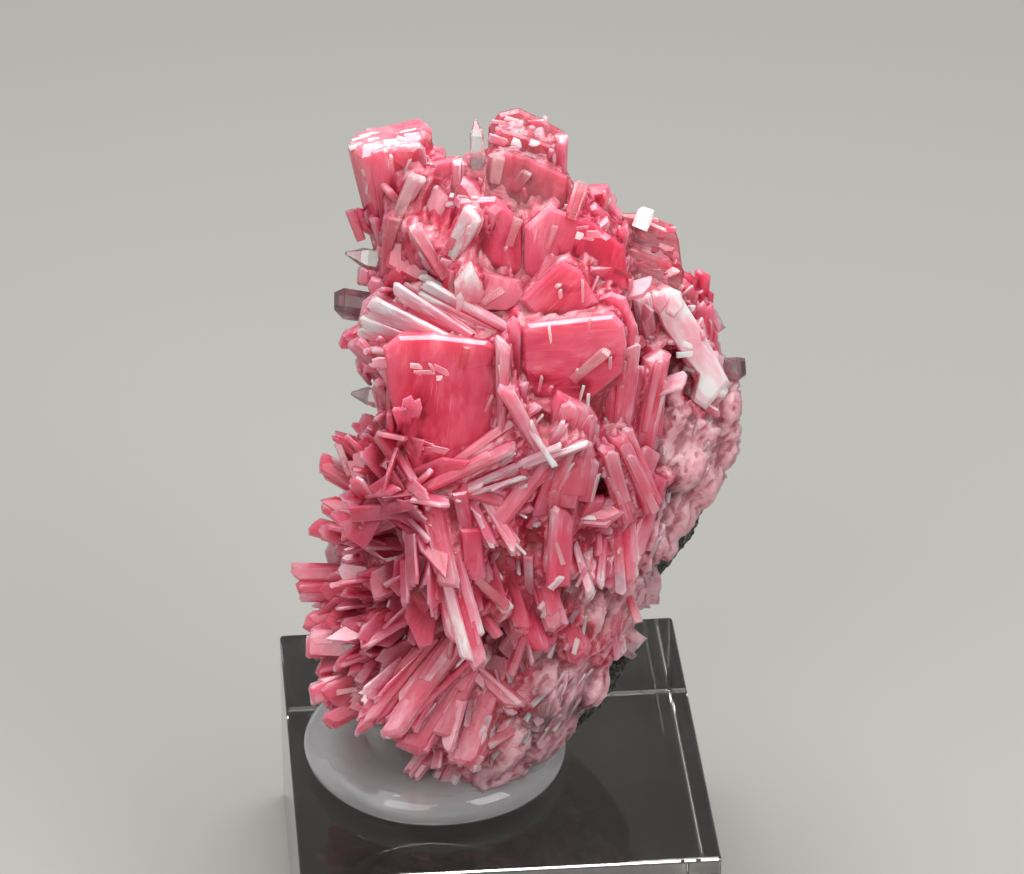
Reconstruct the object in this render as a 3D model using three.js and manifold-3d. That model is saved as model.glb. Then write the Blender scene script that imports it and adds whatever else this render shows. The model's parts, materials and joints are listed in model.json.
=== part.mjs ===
// A rhodonite specimen on display: one grown-together cluster of pink tabular crystals on a thin
// slab of dark host rock, with a few clear and white accessory crystals, held by a pad of clear gum
// on a square acrylic block. Millimetres, +Z up, origin at the centre of the block's underside.

import * as THREE from 'three';
import { ConvexGeometry } from 'three/addons/geometries/ConvexGeometry.js';
import { mergeVertices } from 'three/addons/utils/BufferGeometryUtils.js';
import Module from 'manifold-3d';

const wasm = await Module();
wasm.setup();

// Driving dimensions
const blockSize = 38.1;
const blockHeight = 19.05;
const blockBevel = 0.35;
const gap = 0.3; // clearance kept between touching solids
const gumRadius = 12.3;
const gumHeight = 3.4;
const gumCentre = [-5.5, -1.2];
// The pad's half section: shares of its radius and height, from the middle of its underside
const gumProfile = [
  [0, 0], [0.93, 0], [0.985, 0.16], [1, 0.36], [0.985, 0.56], [0.94, 0.76], [0.86, 0.92], [0.74, 1],
  [0.58, 0.92], [0.34, 0.62], [0, 0.5],
];

// The specimen is laid out in its own frame: x across its show face, y up the face, z out of it.
// The face leans back and is turned a little to the left on the block.
const faceLean = 57;
const faceTurn = -5.45;
const faceCentre = [1.75, 2.85, 51.2];

// Surface finishes
const roseFinish = { color: 0xcf4a60, roughness: 0.25, opacity: 1 };
const rockFinish = { color: 0x2b2826, roughness: 0.9, opacity: 1 };
const clearFinish = { color: 0xd9d2d0, roughness: 0.1, opacity: 0.7 };
const smokyFinish = { color: 0x6b5357, roughness: 0.1, opacity: 0.7 };
const whiteFinish = { color: 0xefe6e2, roughness: 0.1, opacity: 0.7 };
const gumFinish = { color: 0xcfd6dc, roughness: 0.2, opacity: 0.5 };
const acrylicFinish = { color: 0xb9bbb8, roughness: 0.05, opacity: 0.4 };

// Massive rhodonite that the crystals grow from: centre and radii of each lobe
const lobes = [
  { centre: [2, 3, -1.5], radii: [13, 16, 12.5] }, // heart
  { centre: [-1, 15, 5], radii: [9.5, 9, 7.5] }, // crown
  { centre: [12.5, 4, -2], radii: [7.5, 12, 7] }, // right shoulder
  { centre: [4, -12, -4], radii: [9, 11, 10] }, // belly
  { centre: [-8, -11, -6], radii: [8, 12, 9] }, // left flank
  { centre: [-2, -20, -7], radii: [9, 10.5, 8.5] }, // foot
];

// Each crystal: foot point, tip point, width, thickness, roll about its length and its top.
// Roll 0 turns the broad face out of the show face.
const crownCrystals = [
  { foot: [-8.8, 13, 7], tip: [-11, 26.4, 13.4], wide: 7.8, thick: 6, roll: 0, top: 'flat', flare: 1.4 },
  { foot: [-6.6, 13, 7.4], tip: [-7.5, 25.1, 13], wide: 4.6, thick: 5, roll: -8, top: 'chisel' },
  { foot: [1, 14, 8], tip: [1, 28.6, 13.2], wide: 7.2, thick: 2.6, roll: 0, top: 'chisel' },
  { foot: [0.8, 14, 11], tip: [0.8, 25.9, 15.4], wide: 5.3, thick: 2, roll: 0, top: 'flat' },
  { foot: [-1.2, 13, 12], tip: [-1, 23.6, 16.6], wide: 5.4, thick: 2, roll: -6, top: 'chisel' },
  { foot: [3.9, 18, 11.4], tip: [4.1, 26.5, 13.8], wide: 1.2, thick: 2.8, roll: 0, top: 'flat' },
  { foot: [-3.5, 18, 11], tip: [-3.4, 24.9, 15], wide: 2.2, thick: 2.2, roll: 0, top: 'flat' },
  { foot: [-5, 18, 12.6], tip: [-4.9, 24.1, 15.4], wide: 1.1, thick: 1.6, roll: 0, top: 'flat' },
  { foot: [6, 15, 9.5], tip: [7, 22.4, 11.6], wide: 3.8, thick: 3.2, roll: 0, top: 'chisel' },
  { foot: [4.6, 16, 11.5], tip: [5.3, 22, 13.7], wide: 2.4, thick: 2.2, roll: 20, top: 'flat' },
  { foot: [7.8, 15, 7.5], tip: [8.7, 21.2, 9], wide: 2.2, thick: 2, roll: 0, top: 'chisel' },
  { foot: [-5.5, 15, 7.5], tip: [-6.1, 24.2, 11], wide: 3.4, thick: 3, roll: 0, top: 'chisel' },
  { foot: [-7.5, 10, 8], tip: [-10.9, 20, 13.6], wide: 4.8, thick: 3, roll: 10, top: 'chisel' },
  { foot: [-11.2, 17.6, 12.2], tip: [-8.3, 22.6, 15.8], wide: 1.5, thick: 1.3, roll: 20, top: 'flat' },
  { foot: [-10.9, 14, 11.2], tip: [-10.3, 19.6, 14.8], wide: 1.9, thick: 1.5, roll: 0, top: 'chisel' },
  { foot: [-5.6, 13, 13.2], tip: [-8.7, 18.4, 16.2], wide: 1.9, thick: 1.4, roll: 15, top: 'chisel' },
  { foot: [-6.2, 14, 13.4], tip: [-3.4, 19.6, 17.5], wide: 1.9, thick: 1.3, roll: -20, top: 'flat' },
  { foot: [0.4, 13, 14.8], tip: [0.6, 19.3, 18], wide: 1.8, thick: 1.3, roll: 0, top: 'flat' },
  { foot: [-4, 11.5, 12], tip: [-2.2, 20.6, 17], wide: 4.2, thick: 2.6, roll: -10, top: 'chisel' },
  { foot: [2.4, 10.5, 12.5], tip: [3.4, 19.6, 16.7], wide: 4.2, thick: 2.6, roll: 12, top: 'chisel' },
  { foot: [5, 9.5, 10.5], tip: [7.2, 18.2, 14.2], wide: 3.8, thick: 2.4, roll: 25, top: 'chisel' },
  { foot: [1, 8, 11.5], tip: [2.8, 14.7, 16.4], wide: 5, thick: 2.8, roll: 16, top: 'chisel' },
  { foot: [-3, 8.5, 12], tip: [-6.4, 16.6, 15.7], wide: 3.8, thick: 2.2, roll: -8, top: 'chisel' },
];

const leftEdgeCrystals = [
  { foot: [-8, 8.5, 5.5], tip: [-15.3, 8.9, 7.4], wide: 2.8, thick: 2, roll: -20, top: 'chisel' },
  { foot: [-9.5, 16.8, 8.5], tip: [-14.1, 19.4, 11], wide: 1.7, thick: 1.4, roll: 10, top: 'chisel' },
  { foot: [-9.5, 5.4, 5.5], tip: [-13.7, 6.2, 8], wide: 3.2, thick: 1.7, roll: 40, top: 'flat' },
  { foot: [-9.2, 13.4, 7.5], tip: [-13.7, 14, 9.4], wide: 2.6, thick: 2.2, roll: 0, top: 'flat' },
];

const fanCrystals = [
  {
    foot: [0.2, 8.5, 13.8],
    tip: [-8.9, 13.3, 13],
    wide: 3.6,
    thick: 2.4,
    roll: -38,
    top: 'flat',
    flare: 1.9,
  },
  {
    foot: [-3.2, 8.4, 13.6],
    tip: [-11, 13, 11.4],
    wide: 3.4,
    thick: 2.4,
    roll: -34,
    top: 'flat',
    flare: 1.7,
  },
  {
    foot: [-5.4, 8.2, 13.4],
    tip: [-12.7, 11.4, 10.4],
    wide: 3.4,
    thick: 2.4,
    roll: -28,
    top: 'flat',
    flare: 1.7,
  },
  { foot: [-3.8, 9.8, 12.6], tip: [-3.8, 14.9, 17.2], wide: 2.9, thick: 1.8, roll: 10, top: 'point' },
];

const heartCrystals = [
  { foot: [-8.4, -4, 10.8], tip: [-7.8, 8.5, 15.6], wide: 5.6, thick: 2.6, roll: -8, top: 'flat' },
  { foot: [-4, -3, 12], tip: [-4.1, 8.4, 16], wide: 5, thick: 2.6, roll: 5, top: 'flat' },
  { foot: [-0.9, -2.4, 12.6], tip: [-0.8, 8.7, 17.1], wide: 2, thick: 3, roll: 10, top: 'chisel' },
  { foot: [-9.4, -2, 8], tip: [-11.9, 8.3, 12], wide: 3.2, thick: 3, roll: -20, top: 'chisel' },
  { foot: [3.8, -1, 11.6], tip: [4.9, 10.3, 17], wide: 8, thick: 1.9, roll: 6, top: 'flat' },
  { foot: [4.5, 2, 10], tip: [4.7, 12.3, 14.5], wide: 8.8, thick: 2.2, roll: 4, top: 'chisel' },
  { foot: [9, -0.5, 9.5], tip: [9.8, 9.7, 13.8], wide: 3.8, thick: 2.2, roll: 30, top: 'chisel' },
  { foot: [4, -6, 10.6], tip: [5.8, 3.9, 16], wide: 7.2, thick: 2, roll: 10, top: 'chisel' },
  { foot: [0.5, -1, 12.6], tip: [0.4, 10.4, 16.6], wide: 2.1, thick: 2.2, roll: 0, top: 'chisel' },
  { foot: [-9, -4.6, 11.6], tip: [6.3, 1.5, 14.6], wide: 3.3, thick: 2.2, roll: -15, top: 'chisel' },
  { foot: [2.9, -2, 14], tip: [-0.9, 4.6, 17.8], wide: 1.3, thick: 1.5, roll: 0, top: 'chisel' },
  { foot: [-5.2, -6.8, 10.8], tip: [6, 0.6, 15.4], wide: 2.4, thick: 1.8, roll: -20, top: 'chisel' },
  { foot: [10.2, -7.4, 7.6], tip: [8, -0.4, 12.9], wide: 2.4, thick: 2, roll: 10, top: 'chisel' },
  { foot: [12.4, -6.2, 6.4], tip: [9.2, 0.6, 12.2], wide: 2.8, thick: 2, roll: 20, top: 'chisel' },
  { foot: [11.6, -1, 6.6], tip: [13.2, 7.8, 9.6], wide: 3.8, thick: 2.4, roll: 20, top: 'chisel' },
];

const crossingCrystals = [
  { foot: [-6, -8.2, 12.4], tip: [-12, 1, 10.8], wide: 2.7, thick: 2.6, roll: 25, top: 'chisel' },
  { foot: [-7.4, -4.6, 12.4], tip: [-3.4, -20.2, 9.8], wide: 4.7, thick: 3, roll: 5, top: 'chisel' },
  { foot: [-10, 0.4, 10.8], tip: [-6.2, -6.4, 14.8], wide: 1.3, thick: 1.6, roll: 0, top: 'flat' },
  { foot: [-4.4, -3.6, 12.4], tip: [-1.5, -9.8, 12.3], wide: 1.1, thick: 2, roll: 0, top: 'chisel' },
  { foot: [-2.9, -4.6, 12], tip: [0.7, -10.2, 12.2], wide: 1.4, thick: 2.2, roll: 0, top: 'chisel' },
  { foot: [-4.6, -11.2, 5], tip: [-0.1, -15.3, 9.6], wide: 1.2, thick: 1, roll: 0, top: 'flat' },
  { foot: [0.6, -4.6, 8.8], tip: [4.4, -17, 6.2], wide: 3.2, thick: 2.4, roll: 0, top: 'chisel' },
  { foot: [-1.4, -8.6, 8], tip: [2.4, -19.4, 5.2], wide: 3.6, thick: 2.4, roll: -10, top: 'chisel' },
  { foot: [5.4, -8.6, 6.8], tip: [7.2, -14.2, 7.4], wide: 1, thick: 2.6, roll: 0, top: 'chisel' },
  { foot: [8.4, -8, 6], tip: [7.8, -13.4, 7.2], wide: 0.9, thick: 2.2, roll: 0, top: 'chisel' },
  { foot: [8.9, -3.6, 6.6], tip: [9.6, -13.8, 4.6], wide: 4.4, thick: 2.8, roll: 10, top: 'chisel' },
  { foot: [3.4, -6.4, 8.4], tip: [10, -6.9, 9.2], wide: 3, thick: 2.2, roll: -10, top: 'chisel' },
  { foot: [3.6, -12.6, 3.6], tip: [6.2, -20, 3], wide: 3.8, thick: 2.8, roll: 0, top: 'chisel' },
  { foot: [8, -13, 1.4], tip: [9, -20, 0], wide: 3.4, thick: 2.6, roll: 0, top: 'chisel' },
];

const rightCrystals = [
  { foot: [10.8, 11, 4.4], tip: [11.6, 19.9, 7.4], wide: 6.4, thick: 2.2, roll: -6, top: 'flat' },
  { foot: [12.4, 9, 3.4], tip: [13.4, 16, 6.2], wide: 4.8, thick: 2.2, roll: -8, top: 'chisel' },
  { foot: [7.8, 11, 8.4], tip: [9.4, 18.9, 10.8], wide: 3.4, thick: 2.6, roll: 0, top: 'chisel' },
  { foot: [10.8, 12.8, 6.6], tip: [14.6, 15.1, 8], wide: 0.8, thick: 1.2, roll: 0, top: 'flat' },
  { foot: [16.6, 3.4, 0], tip: [17.3, 15.2, 2.4], wide: 2.2, thick: 1.8, roll: 15, top: 'chisel' },
  { foot: [15.2, 8, 0.6], tip: [15.5, 14.9, 3.2], wide: 1.6, thick: 1.5, roll: 0, top: 'chisel' },
  { foot: [12.4, 13.6, 8.4], tip: [18.6, 3, 5], wide: 2.8, thick: 2.2, roll: 34, top: 'flat' },
  { foot: [12.6, 6.6, 5.4], tip: [11.2, 12.6, 10.4], wide: 1.8, thick: 1.2, roll: 20, top: 'flat' },
  { foot: [13.8, 8.6, 6.6], tip: [13.6, 13.3, 9.4], wide: 1.8, thick: 1.2, roll: 24, top: 'flat' },
];

const leftSprayCrystals = [
  { foot: [-8.6, -4.6, 2.6], tip: [-13.7, 1.7, 3.4], wide: 3.1, thick: 2.2, roll: 10, top: 'chisel' },
  { foot: [-9.4, -5.4, 2], tip: [-15.9, 0.4, 1.8], wide: 2.1, thick: 1.6, roll: -20, top: 'point' },
  { foot: [-9, -7, 1.6], tip: [-17.5, -2.4, 0.4], wide: 2.9, thick: 1.8, roll: 12, top: 'chisel' },
  { foot: [-9.4, -8, 2], tip: [-17.3, -6, 0.8], wide: 1.9, thick: 1.6, roll: 0, top: 'point' },
  { foot: [-9, -10.6, 2.4], tip: [-18.2, -8.4, -0.6], wide: 2.7, thick: 2, roll: -14, top: 'chisel' },
  { foot: [-9.4, -12.4, 2.2], tip: [-20.5, -12.5, -3.6], wide: 2.4, thick: 2, roll: 10, top: 'chisel' },
  { foot: [-9.4, -14, 1.8], tip: [-19.3, -14.2, -3.2], wide: 2.6, thick: 2.2, roll: -10, top: 'chisel' },
  { foot: [-9.4, -16, 1.4], tip: [-18.7, -17.2, -2], wide: 3, thick: 2.2, roll: 15, top: 'chisel' },
  { foot: [-8.6, -17.6, 1], tip: [-18.5, -18.8, 0.4], wide: 3.3, thick: 2.6, roll: 0, top: 'flat' },
  { foot: [-8.6, -19.2, 0.6], tip: [-17.5, -21.5, 0], wide: 3, thick: 2.4, roll: 20, top: 'chisel' },
  { foot: [-8.6, -20, 0], tip: [-18.1, -23.6, 0.8], wide: 3, thick: 2.4, roll: -10, top: 'flat' },
  { foot: [-8.6, -21, -0.4], tip: [-16.8, -25.7, 1.2], wide: 2.8, thick: 2.4, roll: 10, top: 'chisel' },
  { foot: [-7, -7.6, 5], tip: [-12.8, -6.4, 7.2], wide: 2.8, thick: 2, roll: 0, top: 'chisel' },
  { foot: [-6, -9.8, 4.4], tip: [-14.2, -8.8, 6.2], wide: 2.8, thick: 2, roll: 20, top: 'chisel' },
  { foot: [-6, -12, 4], tip: [-13.7, -13, 6], wide: 3, thick: 2.2, roll: -15, top: 'chisel' },
  { foot: [-6, -14, 3.4], tip: [-13.2, -16.7, 5.8], wide: 3.2, thick: 2.4, roll: 5, top: 'chisel' },
  { foot: [-7.4, -3.6, 6.6], tip: [-12.7, -2.4, 8], wide: 3.2, thick: 2.2, roll: 10, top: 'chisel' },
];

const footCrystals = [
  { foot: [-5.8, -16.6, 3.8], tip: [-13.6, -26.8, 5.2], wide: 2.5, thick: 2.2, roll: 20, top: 'point' },
  { foot: [-4.4, -17.8, 3.8], tip: [-11.1, -27, 5.8], wide: 2.7, thick: 2.4, roll: 20, top: 'chisel' },
  { foot: [-7.8, -14.6, -0.4], tip: [-13.2, -23, 2.3], wide: 5, thick: 3, roll: 5, top: 'flat' },
  { foot: [-2.8, -17.8, 1.4], tip: [-8.9, -28.5, 3.2], wide: 4.5, thick: 3.4, roll: 0, top: 'flat' },
  { foot: [-1, -19, 0.8], tip: [-4.9, -29.5, 0.8], wide: 4.5, thick: 3.4, roll: 0, top: 'flat' },
  { foot: [-5, -19.4, 1.6], tip: [1, -24.7, 1.8], wide: 2.8, thick: 2.4, roll: 0, top: 'chisel' },
  { foot: [-3.4, -26.4, -5.2], tip: [-7, -33.4, -4.6], wide: 2.6, thick: 2.2, roll: 0, top: 'chisel' },
  { foot: [-4.6, -25.6, -4.2], tip: [-8.9, -31.2, -4], wide: 2.3, thick: 2, roll: 20, top: 'chisel' },
  { foot: [-2, -26.6, -4.4], tip: [-4.8, -33.1, -5.2], wide: 2.4, thick: 2, roll: -15, top: 'chisel' },
];

// Rounded lumps of massive rhodonite along the right edge and round the foot
const lumps = [
  { centre: [16.2, 5.6, 1.8], radius: 3 },
  { centre: [17.8, 3.4, 0.6], radius: 2.7 },
  { centre: [15, 1.6, 2.8], radius: 3.2 },
  { centre: [17.8, -0.2, -0.4], radius: 2.6 },
  { centre: [14.2, -2.2, 3], radius: 3 },
  { centre: [16, -3.4, 0.6], radius: 2.6 },
  { centre: [13.6, -6.2, 1], radius: 2.6 },
  { centre: [11.8, -9, 1.4], radius: 2.7 },
  { centre: [9, -13.4, 0.6], radius: 3 },
  { centre: [8, -17.8, -1.4], radius: 3 },
  { centre: [6.2, -21.8, -2.6], radius: 3.2 },
  { centre: [3, -22.4, -0.8], radius: 3.5 },
  { centre: [2.6, -25.6, -3.8], radius: 3.3 },
  { centre: [-1, -26.6, -2.4], radius: 3.3 },
  { centre: [-1.8, -29.4, -5], radius: 3 },
];

// Accessory crystals, each a separate solid seated in its own socket in the rhodonite
const accessories = [
  {
    name: 'quartz_crystal_crown',
    finish: clearFinish,
    shape: {
      foot: [-3.3, 23.4, 14.9],
      tip: [-3.3, 27.5, 16],
      wide: 1.3,
      thick: 1.2,
      roll: 0,
      top: 'point',
    },
  },
  {
    name: 'quartz_crystal_left_upper',
    finish: clearFinish,
    shape: {
      foot: [-10.4, 15.3, 8.4],
      tip: [-14.8, 15.9, 9.6],
      wide: 1.9,
      thick: 1.7,
      roll: 0,
      top: 'point',
    },
  },
  {
    name: 'quartz_crystal_left_lower',
    finish: clearFinish,
    shape: {
      foot: [-9.8, 2.9, 6.6],
      tip: [-14.3, 3.8, 7],
      wide: 1.8,
      thick: 1.4,
      roll: 15,
      top: 'point',
    },
  },
  {
    name: 'smoky_quartz_left',
    finish: smokyFinish,
    shape: {
      foot: [-9.6, 11, 5.4],
      tip: [-15.9, 11.9, 6.6],
      wide: 2.8,
      thick: 2,
      roll: 30,
      top: 'chisel',
    },
  },
  {
    name: 'smoky_quartz_right',
    finish: smokyFinish,
    shape: {
      foot: [16.2, 6, 2.6],
      tip: [21, 6.3, 1.7],
      wide: 2.4,
      thick: 1.8,
      roll: 10,
      top: 'chisel',
    },
  },
  {
    name: 'calcite_flake',
    finish: whiteFinish,
    shape: {
      foot: [11.1, 18.5, 8.8],
      tip: [11.8, 20.3, 9],
      wide: 1.6,
      thick: 0.7,
      roll: 0,
      top: 'flat',
    },
  },
];

// Host rock: outline of the slab across the show frame, its outer plane and its thickness
const rockNormal = [0.45, 0.15, -0.88];
const rockOffset = 12;
const rockOutline = [
  { at: [5.8, -28.2], thick: 2.6 },
  { at: [9.4, -24.6], thick: 3 },
  { at: [11.8, -20], thick: 3 },
  { at: [12.2, -16], thick: 3.6 },
  { at: [15.4, -11.4], thick: 6.4 },
  { at: [17.6, -8.6], thick: 6.8 },
  { at: [18.3, -5.6], thick: 5.2 },
  { at: [19.4, -1], thick: 3.2 },
  { at: [20.6, 3.2], thick: 2.6 },
  { at: [17.4, 8.4], thick: 3.2 },
  { at: [12.8, 12.4], thick: 4 },
  { at: [6, 14.6], thick: 4.2 },
  { at: [-1.6, 13.6], thick: 4 },
  { at: [-7.4, 8.4], thick: 4 },
  { at: [-9.6, 0.6], thick: 4.2 },
  { at: [-8.8, -8.6], thick: 4 },
  { at: [-6, -17.4], thick: 3.8 },
  { at: [-2, -24.6], thick: 3.4 },
  { at: [1.6, -28], thick: 2.8 },
];
const rockMiddle = [4.5, -7.5];
const rockMiddleThick = 4.6;
const rockRings = 4;
const rockRelief = 1.1;
const rockReliefShift = 0.35; // share of the relief that stands out of the slab's planes
const rockWiden = 1.4; // how far the rim moves for each millimetre the slab is grown
const backTrim = 1.2; // the rhodonite behind the slab's outer plane is cut this far in front of it
const rimBevel = 0.16; // of the thickness, on each face at the rim

// The outline that the specimen shows from the front, which no hidden crystal reaches past
const showOutline = [
  [-15, 25], [-10, 27], [-5.6, 24], [-3, 26.4], [0, 28], [4.4, 26], [5, 22], [8.6, 21], [9, 19],
  [14.2, 18.6], [15.4, 14.6], [18, 14], [18, 9], [20.6, 6], [20.4, 0], [18.2, -5], [16.6, -9],
  [13, -14], [11.6, -17], [9.6, -23], [5.4, -27.6], [0, -30], [-6, -31], [-12, -27], [-17, -25],
  [-18, -18], [-20, -12.5], [-17.6, -8], [-17, -2], [-13.6, 2], [-13.4, 8], [-15, 11.5], [-14, 16],
  [-13.6, 19.6],
];

// Sections of a crystal, as shares of its width and thickness
const sixSided = [[0.5, 0], [0.36, 0.5], [-0.36, 0.5], [-0.5, 0], [-0.36, -0.5], [0.36, -0.5]];
const fourSided = [[0.5, 0.4], [-0.42, 0.5], [-0.5, -0.4], [0.42, -0.5]];
const sixSidedFrom = 2.5; // narrower crystals have four sides
const usualFlare = 1.12; // how much wider a crystal is at its shoulder than at its foot
// Height of the shoulder under each kind of top, as a share of the length
const shoulderOf = { flat: 0.985, chisel: 0.88, point: 0.76 };
const flatTop = [0.9, 0.84]; // share of the width and thickness left on a flat top
const chiselEdge = [-0.3, 0.14]; // ends of a chisel top's edge, as shares of the width
const pointPlace = 0.05; // place of a pointed top, as a share of the width

// Massive mineral: facets of the lobes and of the lumps
const lobeDetail = 1;
const lobeRoughness = 0.1;
const chunkCorners = 12;
const chunkReach = [0.86, 1.2];

// Crystals on the hidden sides are spread evenly over the lobes by the golden angle
const fillCount = 140;
const goldenAngle = Math.PI * (3 - Math.sqrt(5));
const fillLength = [5, 9];
const fillWidth = [1.8, 3.6];
const fillThick = [1.2, 2.2];
const fillSpread = 0.8; // how far a crystal leans off the lobe's normal
const fillLift = 0.2; // how much more of them lean up than down
const fillSunk = 2.5; // length of each below the lobe's surface
const fillChisels = 0.75; // share with a chisel top
const showSide = 0.25; // normals that face the viewer more than this get no crystal
const rockSpare = 1.5; // tips stay this far in front of the slab's outer plane

// The slab's relief, the lobes, the lumps and the hidden crystals each have a stream of numbers
const rockSeed = 31;
const lobeSeed = 11;
const lumpSeed = 41;
const fillSeed = 7;

const cutterReach = 120;
const gumSides = 28;
const weldReach = 1e-4;

// A repeatable stream of numbers from 0 to 1
function numberStream(seed) {
  let state = seed;
  return () => {
    state = (state * 1664525 + 1013904223) % 4294967296;
    return state / 4294967296;
  };
}

function vector(list) {
  return new THREE.Vector3(list[0], list[1], list[2]);
}

function between(range, share) {
  return range[0] + (range[1] - range[0]) * share;
}

// Closed geometry of shared vertices, with position only
function welded(geometry) {
  const copy = geometry.clone();
  copy.deleteAttribute('normal');
  copy.deleteAttribute('uv');
  return mergeVertices(copy, weldReach);
}

function solidOf(geometry) {
  const closed = welded(geometry);
  const vertProperties = new Float32Array(closed.attributes.position.array);
  const triVerts = new Uint32Array(closed.index.array);
  return new wasm.Manifold(new wasm.Mesh({ numProp: 3, vertProperties, triVerts }));
}

function geometryOf(solid) {
  const mesh = solid.getMesh();
  const geometry = new THREE.BufferGeometry();
  geometry.setAttribute('position', new THREE.BufferAttribute(mesh.vertProperties, 3));
  geometry.setIndex(new THREE.BufferAttribute(mesh.triVerts, 1));
  return geometry;
}

function joined(solids) {
  return solids.reduce((whole, solid) => whole.add(solid));
}

// Corner points of a tabular crystal standing on z = 0: its section and its top
function crystalPoints({ wide, thick, long, top, flare = usualFlare }) {
  const section = wide > sixSidedFrom ? sixSided : fourSided;
  const points = [];
  for (const [x, y] of section) {
    points.push(new THREE.Vector3((x * wide) / flare, (y * thick) / flare, 0));
    points.push(new THREE.Vector3(x * wide, y * thick, long * shoulderOf[top]));
  }
  if (top === 'flat') {
    for (const [x, y] of section) {
      points.push(new THREE.Vector3(x * wide * flatTop[0], y * thick * flatTop[1], long));
    }
  } else if (top === 'chisel') {
    points.push(new THREE.Vector3(wide * chiselEdge[0], 0, long));
    points.push(new THREE.Vector3(wide * chiselEdge[1], 0, long));
  } else {
    points.push(new THREE.Vector3(wide * pointPlace, 0, long));
  }
  return points;
}

// One crystal from its foot to its tip, rolled about its length, grown outwards by extra
function crystalGeometry(crystal, extra = 0) {
  const foot = vector(crystal.foot);
  const tip = vector(crystal.tip);
  const along = tip.clone().sub(foot);
  const long = along.length() + extra;
  along.normalize();
  const outwards = new THREE.Vector3(0, 0, 1);
  const across = new THREE.Vector3().crossVectors(along, outwards).normalize();
  across.applyAxisAngle(along, THREE.MathUtils.degToRad(crystal.roll));
  const through = new THREE.Vector3().crossVectors(along, across);
  const place = new THREE.Matrix4().makeBasis(across, through, along);
  place.setPosition(foot.addScaledVector(along, -extra));
  const wide = crystal.wide + 2 * extra;
  const thick = crystal.thick + 2 * extra;
  const points = crystalPoints({ ...crystal, wide, thick, long: long + extra });
  return new ConvexGeometry(points).applyMatrix4(place);
}

// A faceted ellipsoid whose corners are pushed in and out a little
function lumpGeometry(centre, radii, seed) {
  const geometry = welded(new THREE.IcosahedronGeometry(1, lobeDetail));
  const next = numberStream(seed);
  const place = geometry.attributes.position;
  for (let i = 0; i < place.count; i += 1) {
    const scale = 1 + (next() - 0.5) * lobeRoughness;
    const x = centre[0] + place.getX(i) * radii[0] * scale;
    const y = centre[1] + place.getY(i) * radii[1] * scale;
    const z = centre[2] + place.getZ(i) * radii[2] * scale;
    place.setXYZ(i, x, y, z);
  }
  return geometry;
}

// A chunk of massive mineral: the hull of points spread over an uneven ball
function chunkGeometry({ centre, radius }, seed) {
  const next = numberStream(seed);
  const points = [];
  for (let i = 0; i < chunkCorners; i += 1) {
    const height = 1 - (2 * (i + 0.5)) / chunkCorners;
    const round = Math.sqrt(1 - height * height);
    const turn = i * goldenAngle + next();
    const reach = radius * between(chunkReach, next());
    points.push(
      new THREE.Vector3(round * Math.cos(turn), height, round * Math.sin(turn))
        .multiplyScalar(reach)
        .add(vector(centre)),
    );
  }
  return new ConvexGeometry(points);
}

// How far a point lies along the slab's normal
function alongRock(point) {
  return vector(rockNormal).normalize().dot(point);
}

// The slab: rings from its middle to its rim on the outer and the inner face, grown by extra
function rockGeometry(extra = 0) {
  const normal = vector(rockNormal).normalize();
  const next = numberStream(rockSeed);
  const middle = new THREE.Vector2(...rockMiddle);
  const count = rockOutline.length;
  const positions = [];
  const sheetPoint = (place, depth) => {
    const z = (normal.x * place.x + normal.y * place.y - rockOffset) / -normal.z;
    return new THREE.Vector3(place.x, place.y, z).addScaledVector(normal, -depth);
  };
  for (const side of [0, 1]) {
    positions.push(sheetPoint(middle, side === 0 ? -extra : rockMiddleThick + extra));
    for (let ring = 1; ring <= rockRings; ring += 1) {
      const reach = ring / rockRings;
      for (const { at, thick } of rockOutline) {
        const inset = ring === rockRings ? thick * rimBevel : rockRelief * (next() - rockReliefShift);
        const out = new THREE.Vector2(...at).sub(middle);
        out.setLength(out.length() * reach + rockWiden * extra);
        const deep = THREE.MathUtils.lerp(rockMiddleThick, thick, reach);
        const depth = side === 0 ? inset - extra : deep - inset + extra;
        positions.push(sheetPoint(out.add(middle), depth));
      }
    }
  }
  const sideStart = 1 + rockRings * count;
  const index = [];
  for (const side of [0, 1]) {
    const start = side * sideStart;
    const face = side === 0 ? (a, b, c) => index.push(a, b, c) : (a, b, c) => index.push(a, c, b);
    for (let i = 0; i < count; i += 1) {
      const j = (i + 1) % count;
      face(start, start + 1 + j, start + 1 + i);
      for (let ring = 1; ring < rockRings; ring += 1) {
        const inner = start + 1 + (ring - 1) * count;
        const outer = inner + count;
        face(inner + i, inner + j, outer + i);
        face(inner + j, outer + j, outer + i);
      }
    }
  }
  const rim = 1 + (rockRings - 1) * count;
  for (let i = 0; i < count; i += 1) {
    const j = (i + 1) % count;
    index.push(rim + i, rim + j, sideStart + rim + i);
    index.push(rim + j, sideStart + rim + j, sideStart + rim + i);
  }
  const geometry = new THREE.BufferGeometry().setFromPoints(positions);
  geometry.setIndex(index);
  return geometry;
}

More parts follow.
